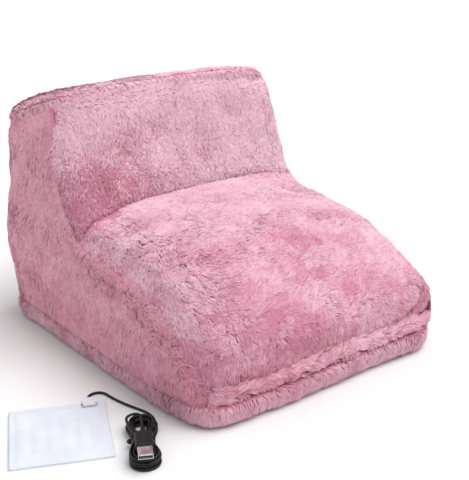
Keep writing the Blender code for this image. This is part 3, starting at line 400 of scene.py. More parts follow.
def stuffed(points):
    """Outer face after filling: the shank wider and further back at its middle height, and low
    in front the right toe corner pushed out, the left one tucked in."""
    made = bowed(points)
    x, y, z = made[..., 0].copy(), made[..., 1].copy(), made[..., 2]
    belly = ramp(z, 0.045, 0.09) * (1 - ramp(z, 0.195, RIM["z"]))
    behind = ramp(y, CREASE_Y, RIM["front"])
    rear = ramp(y, RIM["front"], HALF_LENGTH)
    made[..., 0] += SHANK_PUSH * belly * behind * x / HALF_WIDTH
    made[..., 1] += BACK_PUSH * belly * rear
    near = ramp(y, -0.10, -0.16) * (1 - ramp(z, 0.05, 0.11))
    right = ramp(x / HALF_WIDTH, 0.25, 0.80) * near
    left = ramp(-x / HALF_WIDTH, 0.25, 0.80) * near
    made[..., 0] += RIGHT_TOE_PUSH * right + LEFT_TOE_TUCK * left
    made[..., 1] += LEFT_TOE_TUCK * left - RIGHT_TOE_FORWARD * right
    return made


def ripple(points, size, seed):
    """Soft noise from -1 to 1: the mean of ten plane waves of about that length."""
    rng = np.random.default_rng(seed)
    total = np.zeros(points.shape[:-1])
    for _ in range(10):
        way = rng.normal(size=3)
        way *= math.tau / (size * rng.uniform(0.6, 1.6)) / np.linalg.norm(way)
        total += np.sin(points @ way + rng.uniform(0, math.tau))
    return total / 4.5


class Face:
    """Seam lines of the outer or the inner face of the wall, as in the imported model."""

    def __init__(self, inset, crease, rise, thickness, radii, shares):
        self.wide = HALF_WIDTH - inset
        self.long = HALF_LENGTH - inset
        self.radius = CORNER - inset
        self.crease = crease
        self.rise = rise
        self.rim_wide = RIM["wide"] - thickness
        self.rim_front = RIM["front"] + thickness
        self.rim_back = RIM["back"] - thickness
        self.front_radius, self.back_radius = radii
        self.shares = shares

    def rim_z(self, y):
        """Height of the rim's line, which falls evenly towards the back."""
        return RIM["z"] - RIM["drop"] * (y - RIM["front"]) / (RIM["back"] - RIM["front"])

    def plan_x(self, y, z):
        """Half width on the rounded footprint, leaned in towards the rim."""
        lean = self.wide + (self.rim_wide - self.wide) * (z - FRONT_TOP) / (RIM["z"] - FRONT_TOP)
        over = np.maximum(np.abs(y) - (self.long - self.radius), 0)
        return lean - self.radius + np.sqrt(self.radius ** 2 - over ** 2)

    @staticmethod
    def quarter(wide, long, radius, degrees):
        """Points of a rounded corner in plan, by their angles from +X."""
        angle = np.radians(degrees)
        return np.stack([wide - radius + radius * np.cos(angle),
                         long - radius + radius * np.sin(angle)], axis=-1)

    def foot_side(self):
        """Foot of the right side panel from the back corner to the front one."""
        back = self.quarter(self.wide, self.long, self.radius, np.array([45, 22.5, 0]))
        run = self.long - self.radius
        straight = np.stack([np.full(14, self.wide), run - 2 * run * SIDE_FOOT_SHARES], axis=-1)
        plan = np.concatenate([back, straight, back[::-1] * [1, -1]])
        return np.column_stack([plan, np.full(len(plan), FOOT)])

    def rim_side(self):
        """The rim's line along the right side panel, from the back corner to the front one."""
        back = self.quarter(self.rim_wide, self.rim_back, self.back_radius,
                            np.array([45, 22.5, 0]))
        straight_back = self.rim_back - self.back_radius
        straight_front = self.rim_front + self.front_radius
        x, reach = self.quarter(self.rim_wide, 0.0, self.front_radius, 45)
        plan = np.array([*back, (self.rim_wide, (straight_back + straight_front) / 2),
                         (self.rim_wide, straight_front), (x, self.rim_front - reach)])
        return np.column_stack([plan, self.rim_z(plan[:, 1])])

    def collar_seam(self):
        """Right seam of the shin panel from the rim to the crease."""
        top = self.rim_side()[-1]
        run, rise = COLLAR_SHARES[::-1].T
        low_y, low_z = self.crease
        low_x = self.plan_x(low_y, low_z)
        return np.stack([low_x + (top[0] - low_x) * rise, low_y + run * (top[1] - low_y),
                         low_z + rise * (top[2] - low_z)], axis=-1)

    def toe_seam(self):
        """Right seam of the toe from the crease to the tip."""
        tip_x, tip_y = self.quarter(self.wide, self.long, self.radius, 45)
        run, fall = TOE_SEAM_SHARES.T
        y = self.crease[0] + run * (-tip_y - self.crease[0])
        z = self.crease[1] + fall * (FRONT_TOP - self.crease[1])
        line = np.stack([self.plan_x(y, z), y, z], axis=-1)
        line[-1] = (tip_x, -tip_y, FRONT_TOP)
        return line

    def side(self):
        """Right side panel, ruled from its foot to the rim and the seams of shin and toe."""
        top = np.concatenate([self.rim_side(), self.collar_seam()[1:], self.toe_seam()[1:]])
        return ruled(self.foot_side(), top, ROWS)

    def across(self):
        """Cross positions of the front's columns as shares of its half width."""
        tip = self.quarter(self.wide, self.long, self.radius, 45)[0]
        mid = self.quarter(self.wide, self.long, self.radius, 67.5)[0]
        straight = (self.wide - self.radius) / tip
        half = np.array([straight / 4, straight / 2, straight * 3 / 4, straight, mid / tip, 1])
        return np.concatenate([-half[::-1], [0], half])

    def toe(self):
        """Toe: each row swells from its two seams up to the middle line."""
        seam = self.toe_seam()
        rows = len(seam) - 1
        s = self.across()
        over = np.maximum(np.abs(s) * seam[-1, 0] - (self.wide - self.radius), 0)
        front = -(self.long - self.radius) - np.sqrt(self.radius ** 2 - over ** 2)
        corner = (front - seam[-1, 1]) / (-self.long - seam[-1, 1])
        mix = (np.arange(rows + 1) / rows)[None, :] ** 2
        swell = steep(s)[:, None] * (1 - mix) + corner[:, None] * mix
        run, fall = self.shares.T
        top_z = self.crease[1] + self.rise
        middle_y = self.crease[0] + run * (-self.long - self.crease[0])
        middle_z = top_z + fall * (FRONT_TOP - top_z)
        x = s[:, None] * seam[None, :, 0]
        y = seam[None, :, 1] + (middle_y - seam[:, 1])[None, :] * swell
        z = seam[None, :, 2] + (middle_z - seam[:, 2])[None, :] * swell
        return np.stack([x, y, z], axis=-1)

    def edge(self, wide, long, radius):
        """Back edge in plan, from left to right, between the corners' middles."""
        corner = self.quarter(wide, long, radius, np.array([45, 67.5, 90]))
        straight = np.array([((wide - radius) * k / 4, long) for k in (3, 2, 1, 0)])
        half = np.concatenate([corner, straight])
        return np.concatenate([half * [-1, 1], half[-2::-1]])

    def back(self):
        """Heel panel, ruled from its foot to the rim."""
        foot = self.edge(self.wide, self.long, self.radius)
        top = self.edge(self.rim_wide, self.rim_back, self.back_radius)
        return ruled(np.column_stack([foot, np.full(len(foot), FOOT)]),
                     np.column_stack([top, self.rim_z(top[:, 1])]), ROWS)

    def rim_front_line(self):
        """The rim's line along the shin panel, from left to right."""
        line = self.edge(self.rim_wide, -self.rim_front, self.front_radius) * [1, -1]
        return np.column_stack([line, self.rim_z(line[:, 1])])

    def collar(self):
        """Shin panel: the blend of its four seams, ruled both ways less its corners."""
        top = self.rim_front_line()
        edge = self.toe_seam()[0]
        s = self.across()
        low = np.stack([s * edge[0], np.full(len(s), edge[1]), edge[2] + self.rise * steep(s)],
                       axis=-1)
        right = self.collar_seam()
        left = right * MIRROR
        u = ((s + 1) / 2)[:, None, None]
        v = np.linspace(0, 1, len(right))[None, :, None]
        sides = left[None] * (1 - u) + right[None] * u
        ends = top[:, None] * (1 - v) + low[:, None] * v
        corners = ((top[0] * (1 - v) + low[0] * v) * (1 - u)
                   + (top[-1] * (1 - v) + low[-1] * v) * u)
        return ends + sides - corners

    def front_roll(self):
        """Face of the band before the toes, upright on the footprint's front edge."""
        foot = self.edge(self.wide, self.long, self.radius) * [1, -1]
        return ruled(np.column_stack([foot, np.full(len(foot), FOOT)]),
                     np.column_stack([foot, np.full(len(foot), FRONT_TOP)]), 2)

    def rim_ring(self):
        """The rim's closed line, anticlockwise from the left front."""
        right = self.rim_side()
        back = self.edge(self.rim_wide, self.rim_back, self.back_radius)
        back = np.column_stack([back, self.rim_z(back[:, 1])])
        return np.concatenate([self.rim_front_line()[:-1], right[::-1][:-1], back[::-1][:-1],
                               (right * MIRROR)[:-1]])


outside = Face(inset=0.007, crease=(CREASE_Y, CREASE_Z), rise=0.028, thickness=0.0,
               radii=(0.014, 0.026), shares=TOE_CROWN_SHARES)
inside = Face(inset=0.024, crease=(0.043, 0.1075), rise=0.0235, thickness=0.017,
              radii=(0.010, 0.014), shares=TOE_LINING_SHARES)


# Meshes

def grid_faces(columns, rows, close_u=False, close_v=False):
    """Corner numbers of a grid's squares, round its closed directions too."""
    i = np.arange(columns if close_u else columns - 1)
    j = np.arange(rows if close_v else rows - 1)
    i, j = (a.ravel() for a in np.meshgrid(i, j, indexing="ij"))
    near, far = (i + 1) % columns, (j + 1) % rows
    return np.stack([i * rows + j, near * rows + j, near * rows + far, i * rows + far], axis=-1)


def grid_uv(columns, rows, low, high):
    """Places of a grid's points in a rectangle of the map."""
    u, v = np.meshgrid(np.linspace(low[0], high[0], columns), np.linspace(low[1], high[1], rows),
                       indexing="ij")
    return np.stack([u, v], axis=-1).reshape(-1, 2)


def part(points, faces, uv, rise=0.7, tone=0.5, facing=None):
    """One share of a mesh: points, faces of 3 or 4 corners, and what each point or corner has.
    facing is a normal for each point, for thin blades that take light as the cloth under them."""
    points = points.reshape(-1, 3)
    corners = faces.ravel()
    uv = uv[corners] if len(uv) == len(points) else uv
    facing = np.zeros((len(points), 3)) if facing is None else facing
    return {"points": points, "faces": faces, "uv": uv, "facing": facing,
            "rise": np.broadcast_to(rise, len(points)), "tone": np.broadcast_to(tone, len(points))}


def panel(outer, inner, rise=0.7, tone=0.5):
    """Closed body between two grids of one size, its edge strips mapped onto its outer border."""
    columns, rows = outer.shape[:2]
    half = columns * rows
    low, high = CLOTH_CHART
    middle = (low[0] + high[0]) / 2
    top = grid_faces(columns, rows)
    under = top[:, ::-1] + half
    uv_out = grid_uv(columns, rows, low, (middle - CHART_GAP, high[1]))
    uv_in = grid_uv(columns, rows, (middle, low[1]), high)
    ring = np.concatenate([np.arange(columns) * rows,
                           (columns - 1) * rows + np.arange(1, rows),
                           np.arange(columns - 2, -1, -1) * rows + rows - 1,
                           np.arange(rows - 2, 0, -1)])
    after = np.roll(ring, -1)
    strip = np.stack([after, ring, ring + half, after + half], axis=-1)
    faces = np.concatenate([top, under, strip])
    points = np.concatenate([outer.reshape(-1, 3), inner.reshape(-1, 3)])
    uv = np.concatenate([uv_out, uv_in])
    corner_uv = np.concatenate([uv[top.ravel()], uv[under.ravel()],
                                uv_out[np.stack([after, ring, ring, after], axis=-1).ravel()]])
    way = np.cross(outer[1, 0] - outer[0, 0], outer[0, 1] - outer[0, 0])
    if np.dot(way, outer[0, 0] - inner[0, 0]) < 0:
        faces = faces[:, ::-1]
        corner_uv = corner_uv.reshape(-1, 4, 2)[:, ::-1].reshape(-1, 2)
    return part(points, faces, corner_uv, rise, tone)


def piece(name, parts, look, nodes):
    """One object from its parts, riding on the boot and standing for CAD nodes."""
    points, corners, starts, uvs, rises, tones = [], [], [], [], [], []
    first, corner = 0, 0
    for one in parts:
        faces = one["faces"]
        size = faces.shape[1]
        points.append(one["points"])
        corners.append(faces.ravel() + first)
        starts.append(corner + size * np.arange(len(faces)))
        uvs.append(one["uv"])
        rises.append(one["rise"])
        tones.append(one["tone"])
        first += len(one["points"])
        corner += faces.size
    mesh = bpy.data.meshes.new(name)
    starts = np.concatenate(starts)
    mesh.vertices.add(first)
    mesh.loops.add(corner)
    mesh.polygons.add(len(starts))
    mesh.vertices.foreach_set("co", np.concatenate(points).astype(np.float32).ravel())
    mesh.loops.foreach_set("vertex_index", np.concatenate(corners).astype(np.int32))
    mesh.polygons.foreach_set("loop_start", starts.astype(np.int32))
    mesh.polygons.foreach_set("use_smooth", np.ones(len(starts), bool))
    chart = mesh.uv_layers.new(name="OFBake")
    chart.data.foreach_set("uv", np.concatenate(uvs).astype(np.float32).ravel())
    for key, lists in (("rise", rises), ("tone", tones)):
        held = mesh.attributes.new(key, "FLOAT", "POINT")
        held.data.foreach_set("value", np.concatenate(lists).astype(np.float32))
    mesh.update(calc_edges=True)
    facing = np.concatenate([one["facing"] for one in parts])
    if facing.any():
        mesh.normals_split_custom_set_from_vertices(facing)
    mesh.materials.append(look)
    made = bpy.data.objects.new(name, mesh)
    bpy.context.scene.collection.objects.link(made)
    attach(made, "boot")
    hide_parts(*nodes)
    return made


def pile(grid, normal, density, length, width, flow, seed, clump=0.006, lift=0.45, keep=None,
         nap=0.0, speckle=0.10, stray=0.22):
    """Tufts on a grid, so many a square metre, spread evenly by area: each is a kite of two
    faces leaning along the flow, bent over its middle, its tip drawn towards its clump's. flow
    and nap are the same everywhere or worked out from the clumps' places;
    nap shifts the tone as painted light and shade, on the shin with brushed patches
    too, speckle is how much the tone differs from tuft to tuft, and stray how much the heading
    does."""
    rng = np.random.default_rng(seed)
    a, b, c, d = grid[:-1, :-1], grid[1:, :-1], grid[1:, 1:], grid[:-1, 1:]
    area = (np.linalg.norm(np.cross(b - a, d - a), axis=2)
            + np.linalg.norm(np.cross(b - c, d - c), axis=2)).ravel() / 2
    count = int(area.sum() * density)
    cell = rng.choice(len(area), count, p=area / area.sum())
    i, j = np.divmod(cell, grid.shape[1] - 1)
    fu, fv = rng.random((2, count))

    def at(field):
        """Value of a grid at each base point, blended from its square's four corners."""
        return (field[i, j] * ((1 - fu) * (1 - fv))[:, None] + field[i + 1, j]
                * (fu * (1 - fv))[:, None] + field[i + 1, j + 1] * (fu * fv)[:, None]
                + field[i, j + 1] * ((1 - fu) * fv)[:, None])

    base, up = at(grid), at(normal)
    if keep is not None:
        chosen = keep(base)
        base, up, i, j, fu, fv = (v[chosen] for v in (base, up, i, j, fu, fv))
        count = len(base)
    up /= np.linalg.norm(up, axis=1, keepdims=True)
    warp = np.stack([ripple(base, CLUMP["warp_size"], seed + k) for k in (1, 2, 3)], axis=1)
    warp = warp * CLUMP["warp"]
    cells, shift = 2000, 100
    key = np.floor((base / clump) + warp + shift).astype(np.int64)
    key = key[:, 0] * cells ** 2 + key[:, 1] * cells + key[:, 2]
    _, group = np.unique(key, return_inverse=True)
    group = group.ravel()
    number = np.bincount(group)
    centre = np.stack([np.bincount(group, base[:, k]) / number for k in range(3)], axis=1)
    mean_up = np.stack([np.bincount(group, up[:, k]) / number for k in range(3)], axis=1)
    swirl = np.stack([ripple(centre, CLUMP["swirl_size"], seed + k) for k in (5, 6, 7)], axis=1)
    swirl = swirl * CLUMP["swirl"] + rng.normal(scale=CLUMP["turn"], size=swirl.shape)
    bulk = rng.uniform(CLUMP["short"], CLUMP["long"], len(centre))
    shade = (0.5 + ripple(centre, CLUMP["tone_size"], seed + 8) * CLUMP["tone"]
             + rng.normal(scale=CLUMP["own_tone"], size=len(centre)))
    # Painted light and shade, and on the shin brushed patches, shift the clumps' tone
    shade = shade + (nap(centre) if callable(nap) else nap)

    def lean(way, out, upright):
        """Unit way along the cloth, raised towards its outward direction by a share."""
        tangent = way - np.sum(way * out, axis=1, keepdims=True) * out
        tangent /= np.maximum(np.linalg.norm(tangent, axis=1, keepdims=True), 1e-6)
        made = out * upright + tangent * (1 - upright)
        return made / np.linalg.norm(made, axis=1, keepdims=True)

    drift = flow(centre) if callable(flow) else np.asarray(flow, float)[None, :]
    heading = drift + swirl
    clump_tip = centre + lean(heading, mean_up, lift) * (length * bulk)[:, None]
    own = heading[group] + rng.normal(scale=stray, size=(count, 3))
    size = length * bulk[group] * rng.uniform(TUFT["short"], TUFT["long"], count)
    tip = base + lean(own, up, lift * 0.9) * size[:, None]
    pull = rng.normal(TUFT["pull"], TUFT["pull_spread"], count)
    pull = np.clip(pull, 0, TUFT["pull_most"])[:, None]
    tip = tip * (1 - pull) + clump_tip[group] * pull
    tip[:, 2] = np.maximum(tip[:, 2], TUFT["floor"])
    axis = tip - base
    axis /= np.linalg.norm(axis, axis=1, keepdims=True)
    side = np.cross(axis, up)
    side /= np.maximum(np.linalg.norm(side, axis=1, keepdims=True), 1e-9)
    roll = rng.normal(scale=TUFT["roll"], size=count)[:, None]
    side = side * np.cos(roll) + np.cross(axis, side) * np.sin(roll)
    side *= (width * rng.uniform(TUFT["narrow"], TUFT["broad"], count) / 2)[:, None]
    root = base - up * TUFT["root"]
    middle = (base * (1 - TUFT["bend"]) + tip * TUFT["bend"]
              + up * (size * TUFT["bow"])[:, None])
    points = np.stack([root, middle + side, middle - side, tip], axis=1).reshape(-1, 3)
    tilt = side / np.linalg.norm(side, axis=1, keepdims=True) * TUFT["rounded"]
    facing = np.stack([up, up + tilt, up - tilt, up + axis * TUFT["tip_light"]], axis=1)
    facing = facing.reshape(-1, 3)
    facing += np.repeat(rng.normal(scale=TUFT["uneven"], size=up.shape), 4, axis=0)
    facing /= np.linalg.norm(facing, axis=1, keepdims=True)
    start = (np.arange(count) * 4)[:, None, None]
    faces = (start + np.array([[[0, 1, 2], [2, 1, 3]]])).reshape(-1, 3)
    low, high = PILE_CHART
    across = max(int(math.ceil(math.sqrt(count))), 1)
    step_u, step_v = (high[0] - low[0]) / across, (high[1] - low[1]) / across
    cell_u = (np.arange(count) % across) * step_u + low[0]
    cell_v = (np.arange(count) // across) * step_v + low[1]
    uv = np.stack([cell_u[:, None] + TUFT_CHART[None, :, 0] * step_u,
                   cell_v[:, None] + TUFT_CHART[None, :, 1] * step_v], axis=-1).reshape(-1, 2)
    tone = np.clip(shade[group] + rng.normal(scale=speckle, size=count), 0, 1)
    rise = np.tile([0.0, 0.5, 0.5, 1.0], count)
    return [part(points, faces, uv, rise, np.repeat(tone, 4), facing)]


def covered(name, outer, inner, normal, look, nodes, slot="plush", fill=0.7, **tufts):
    """A padded panel's cover: backing cloth and its pile, as one piece."""
    blades = pile(outer, normal, **tufts)
    # Backing in painted shade, which shows in the seams
    backing = panel(outer, inner, **SHADED_BACKING)
    made = piece(name, [backing, *blades], look, nodes)


# Finishes

pink_plush = plush("pink_plush", (0.74, 0.26, 0.39), (0.90, 0.47, 0.60), (0.99, 0.67, 0.78),
                   patch=0.4)
# Painted shade: a darker copy of the pink pile, for the side panels
shaded_plush = plush("shaded_plush", (0.80, 0.29, 0.42), (0.90, 0.41, 0.54), (0.94, 0.55, 0.66),
                   patch=0.3)
pale_plush = plush("pale_plush", (0.95, 0.50, 0.63), (1.0, 0.64, 0.76), (1.0, 0.72, 0.83),
                   patch=0.12)
filling = fibre("white_filling", (0.88, 0.87, 0.84), (0.74, 0.72, 0.69))
sole_filling = fibre("sole_foam", (0.88, 0.83, 0.68), (0.72, 0.66, 0.50))
sleeve_cloth = weave("sleeve_cloth", (0.78, 0.58, 0.63), (0.55, 0.36, 0.42), threads=900)
tape_cloth = weave("zip_tape_cloth", (0.78, 0.45, 0.54), (0.50, 0.24, 0.32), threads=1500)
grip_cloth = dotted("grip_cloth", (0.17, 0.16, 0.17), (0.05, 0.05, 0.055), pitch=0.006)
white_cloth = nonwoven("white_nonwoven")
cord_jacket = moulded("cord_jacket", (0.010, 0.010, 0.011), 0.42, shine=0.25)
black_moulding = moulded("black_moulding", (0.010, 0.010, 0.011), 0.48, grain=1400,
                         depth=0.00008, shine=0.25)
white_moulding = moulded("white_moulding", (0.80, 0.82, 0.88), 0.5)
cutout_case = moulded("cutout_case", (0.08, 0.08, 0.085), 0.5)
heater_jacket = moulded("heater_jacket", (0.70, 0.12, 0.09), 0.45)
return_jacket = moulded("return_jacket", (0.86, 0.86, 0.84), 0.45)
tie_coating = moulded("tie_coating", (0.012, 0.012, 0.013), 0.55, shine=0.25)
teeth_plastic = moulded("teeth_plastic", (0.80, 0.50, 0.58), 0.35)
zip_nickel = metal("zip_nickel", (0.66, 0.66, 0.68), 0.28)
plug_nickel = metal("plug_nickel", (0.80, 0.81, 0.83), 0.22)
plug_white = moulded("plug_insulator", (0.82, 0.83, 0.85), 0.35)
contact_gold = metal("contact_gold", (0.90, 0.66, 0.28), 0.25)

# CAD nodes that keep their shape and get a finish
KEPT = {
    "zip_upper_tape": tape_cloth, "zip_lower_tape": tape_cloth,
    "zip_upper_teeth": teeth_plastic, "zip_lower_teeth": teeth_plastic,
    "zip_left_stop": zip_nickel, "zip_right_stop": zip_nickel, "zip_slider": zip_nickel,
    "zip_pull": zip_nickel, "heating_wire": heater_jacket, "return_lead": return_jacket,
    "thermal_cutout": cutout_case, "lead_joint": white_moulding, "cord_tie": tie_coating,
    "plug_strain_relief": black_moulding, "plug_overmould": black_moulding,
    "plug_shell": plug_nickel, "plug_tongue": plug_white, "plug_contacts": contact_gold,
}
for node, look in KEPT.items():
    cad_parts[node].data.materials.clear()
    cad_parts[node].data.materials.append(look)


# Studio, camera and lead

def studio():
    """Pale floor, one soft key lamp, and an even sky that looks brighter than it lights."""
    mesh = bpy.data.meshes.new("studio_floor")
    far = 9
    mesh.from_pydata([(-far, -far, 0), (far, -far, 0), (far, far, 0), (-far, far, 0)], [],
                     [(0, 1, 2, 3)])
    floor = bpy.data.objects.new("studio_floor", mesh)
    bpy.context.scene.collection.objects.link(floor)
    floor.location.z = -0.0001
    mesh.materials.append(Finish("studio_floor", (0.97, 0.97, 0.97), 0.95).material)
    lamp = bpy.data.lights.new("key", "SUN")
    lamp.energy = KEY_STRENGTH
    lamp.angle = math.radians(KEY_SPREAD)
    key = bpy.data.objects.new("key", lamp)
    key.rotation_mode = "QUATERNION"
    key.rotation_quaternion = Vector(KEY_FROM).to_track_quat("Z", "Y")
    bpy.context.scene.collection.objects.link(key)
    world = bpy.data.worlds.new("sky")
    bpy.context.scene.world = world
    world.use_nodes = True
    tree = world.node_tree
    rays = tree.nodes.new("ShaderNodeLightPath").outputs
    seen = rays["Is Camera Ray"]
    for ray in ("Is Glossy Ray", "Is Transmission Ray"):
        either = tree.nodes.new("ShaderNodeMath")
        either.operation = "MAXIMUM"
        tree.links.new(seen, either.inputs[0])
        tree.links.new(rays[ray], either.inputs[1])
        seen = either.outputs[0]
    level = tree.nodes.new("ShaderNodeMapRange")
    level.inputs["To Min"].default_value = SKY_LIGHT
    level.inputs["To Max"].default_value = SKY_SEEN
    tree.links.new(seen, level.inputs["Value"])
    tree.links.new(level.outputs[0], tree.nodes["Background"].inputs["Strength"])
    tree.nodes["Background"].inputs["Color"].default_value = (1, 1, 1, 1)
    bpy.context.scene.view_settings.view_transform = "Standard"


def camera():
    """Camera as fitted: looks back along the direction that its two angles give."""
    turn, rise = math.radians(CAMERA_TURN), math.radians(CAMERA_RISE)
    back = Vector((math.sin(turn) * math.cos(rise), -math.cos(turn) * math.cos(rise),
                   math.sin(rise)))
    made = bpy.data.objects.new("camera", bpy.data.cameras.new("camera"))
    made.data.lens = CAMERA_LENS
    made.data.sensor_width = CAMERA_SENSOR
    made.location = CAMERA_AT
    made.rotation_mode = "QUATERNION"
    made.rotation_quaternion = back.to_track_quat("Z", "Y")
    bpy.context.scene.collection.objects.link(made)
    bpy.context.scene.camera = made


studio()
camera()

# Lead and insert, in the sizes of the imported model. The hank is wound in layers of two turns;
# over, level and plug are the heights of its last pass, of the run to the plug and of the plug
CORD = 0.0024
CORD_Z = CORD / 2 + FLOOR_GAP
HANK = {"x": -0.190, "y": -0.150, "turn": 60.0, "half": 0.024, "cap": 0.0072, "waist": 0.0016,
        "pitch": 0.00305, "layer": 0.00285, "hump": 0.0011, "hump_half": 0.0080,
        "hump_top": 0.0026, "turns": 7.75, "steps": 40, "over": 0.01275, "level": 0.0145,
        "plug": 0.0159, "plug_x": 0.0043}
INSERT = {"x": -0.235, "y": -0.090, "turn": -26.0, "wide": 0.043, "long": 0.045,
          "corner": 0.0022, "cloth": 0.0008, "joint_x": 0.028, "joint_half": 0.0068,
          "notch_y": 0.0352, "lead_y": 0.0503}


def on_floor(place, points):
    """Points of the hank or the insert, turned and moved to its place on the floor."""
    turn = math.radians(place["turn"])
    c, s = math.cos(turn), math.sin(turn)
    points = np.asarray(points, float)
    x, y = points[..., 0], points[..., 1]
    return np.stack([place["x"] + c * x - s * y, place["y"] + s * x + c * y, points[..., 2]],
                    axis=-1)


def winding(turns):
    """Place on the hank after a number of turns: two straight runs and two round caps a turn,
    two turns side by side in a layer, four layers, all raised in the middle by the tie."""
    spot, layer = turns % 2, int(turns // 2)
    k = 2 - spot if layer % 2 == 0 else spot
    radius = HANK["cap"] + HANK["pitch"] * k
    waist = HANK["waist"] + HANK["pitch"] * k
    quarter, share = divmod(4 * (turns % 1), 1)
    if quarter in (0, 2):
        side = -1 if quarter == 0 else 1
        x = -side * HANK["half"] * (1 - 2 * share)
        y = side * (waist + (radius - waist) * smooth(abs(x) / HANK["half"]))
    else:
        side = -1 if quarter == 1 else 1
        x = side * (HANK["half"] + radius * math.sin(math.pi * share))
        y = side * radius * math.cos(math.pi * share)
    z = CORD_Z
    for change in (1, 2, 3):
        z += HANK["layer"] * smooth(2 * (turns - change * 2) + 0.5)
    return x, y, z + HANK["hump"] * ramp(abs(x), HANK["hump_half"], HANK["hump_top"])


def hank_line():
    """The wound length, then its climb over the top, a half circle and the run to the plug."""
    steps, over, level, plug = (HANK[key] for key in ("steps", "over", "level", "plug"))
    total = int(HANK["turns"] * steps)
    line = []
    for k in range(total + 1):
        x, y, z = winding(k / steps)
        if k > total - steps / 4:
            z = z + (over - z) * ramp(x, 0.005, HANK["half"])
        line.append((x, y, z))
    end_x, end_y = line[-1][:2]
    for k in range(1, 13):
        angle = math.radians(90 - 180 * k / 12)
        line.append((end_x + end_y / 2 * math.cos(angle), end_y / 2 * (1 + math.sin(angle)),
                     over + (level - over) * smooth(k / 12)))
    stop = HANK["plug_x"]
    for share in np.linspace(0, 1, 9)[1:]:
        line.append((end_x + (stop + 2 * CORD - end_x) * share, 0.0,
                     level + (plug - level) * smooth(share)))
    line.append((stop, 0.0, plug))
    return on_floor(HANK, line)


def lead_line():
    """Free stretch from the insert's joint round into the hank: a short straight, an arc of 150
    degrees, and a cubic curve between two control points that ends in the hank's first run."""
    joint = (INSERT["joint_x"], INSERT["lead_y"])
    start = on_floor(INSERT, [(*joint, CORD_Z), (joint[0], joint[1] + 0.0030, CORD_Z)])
    heading = math.radians(INSERT["turn"] + 90)
    bend, reach = 0.009, 0.045
    centre = start[1] + bend * np.array([math.cos(heading - math.pi / 2),
                                         math.sin(heading - math.pi / 2), 0])
    turned = [centre + bend * np.array([math.cos(a), math.sin(a), 0])
              for a in np.radians(np.linspace(INSERT["turn"] + 180, INSERT["turn"] + 30, 15))[1:]]
    first_y = winding(0)[1]
    goal = on_floor(HANK, [(HANK["half"] + ahead, first_y, CORD_Z)
                           for ahead in (0.0003, 0.0027, 0.0353)])
    leave = heading - math.radians(150)
    ahead = turned[-1] + reach * np.array([math.cos(leave), math.sin(leave), 0])
    t = np.linspace(0, 1, 27)[1:, None]
    run = (turned[-1] * (1 - t) ** 3 + ahead * 3 * t * (1 - t) ** 2
           + goal[2] * 3 * t * t * (1 - t) + goal[1] * t ** 3)
    return np.concatenate([start, turned, run, goal[:1]])


def usb_lead():
    """The whole lead on one line, from the joint to the plug."""
    line = np.concatenate([lead_line(), hank_line()])
    curve = bpy.data.curves.new("usb_lead", "CURVE")
    curve.dimensions = "3D"
    curve.resolution_u = 1
    curve.bevel_depth = CORD / 2
    curve.bevel_resolution = 3
    curve.use_fill_caps = True
    spline = curve.splines.new("POLY")
    spline.points.add(len(line) - 1)
    spline.points.foreach_set("co", np.column_stack([line, np.ones(len(line))]).ravel())
    spline.use_smooth = True
    curve.materials.append(cord_jacket)
    made = bpy.data.objects.new("usb_lead", curve)
    bpy.context.scene.collection.objects.link(made)
    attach(made, "boot")
    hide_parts("supply_cord", "cord_hank")


usb_lead()


# Boot

def swollen(outer, inner, crown, rim=0.0):
    """Outer grid pushed out along its normals by the crown times the fullness both ways,
    nothing at its seams. Rim says for each column how far its top ends in the rim, where the
    wall stays full."""
    normal = normals(outer, inner)
    share = np.linspace(0, 1, outer.shape[1])[None, :]
    across = fullness(np.linspace(0, 1, outer.shape[0]))
    open_top = np.where(share < 0.5, fullness(share), 1 - 0.35 * smooth(2 * share - 1))
    kept = np.broadcast_to(np.asarray(rim, float), across.shape)[:, None]
    along = fullness(share) * (1 - kept) + open_top * kept
    return outer + normal * (crown * across[:, None] * along)[..., None]


RIM_LINE = refine(np.concatenate([outside.rim_ring(), outside.rim_ring()[:1]]), 8)[:-1]
# Top edges of the wall's panels, as sewn and as their backing stands: the rim roll sits on them
wall_tops = []


def rimmed(top):
    """How far each point of a top row lies in the rim's line: fully within 2 mm of it, not at
    all beyond 6 mm."""
    gap = np.linalg.norm(top[:, None, :] - RIM_LINE[None, :, :], axis=2).min(axis=1)
    return ramp(gap, 0.006, 0.002)


def seam_free(count):
    """Nought at both ends of a row of points, full from a tenth inwards."""
    share = np.linspace(0, 1, count)
    return smooth(np.minimum(share, 1 - share) / 0.10)


def outward(outer, inner):
    """Outward directions of a panel: its normals in the middle, at its seams the line from the
    inner seam to the outer one, which it shares with its neighbour."""
    normal = normals(outer, inner)
    away = outer - inner
    away /= np.linalg.norm(away, axis=2, keepdims=True)
    middle = np.minimum.outer(seam_free(outer.shape[0]), seam_free(outer.shape[1]))[..., None]
    made = normal * middle + away * (1 - middle)
    return made / np.linalg.norm(made, axis=2, keepdims=True)


def toward(outer, inner, depth):
    """Grid at a depth below the outer one, on the way to the inner one."""
    way = inner - outer
    return outer + way / np.linalg.norm(way, axis=2, keepdims=True) * depth


def drawn_in(grid, amount):
    """Grid with its border drawn in, so that neighbours stay apart."""
    made = grid.copy()
    for here, there in ((0, 1), (-1, -2)):
        step = grid[there] - grid[here]
        made[here] += amount * step / np.linalg.norm(step, axis=1, keepdims=True)
    for here, there in ((0, 1), (-1, -2)):
        step = grid[:, there] - grid[:, here]
        made[:, here] += amount * step / np.linalg.norm(step, axis=1, keepdims=True)
    return made


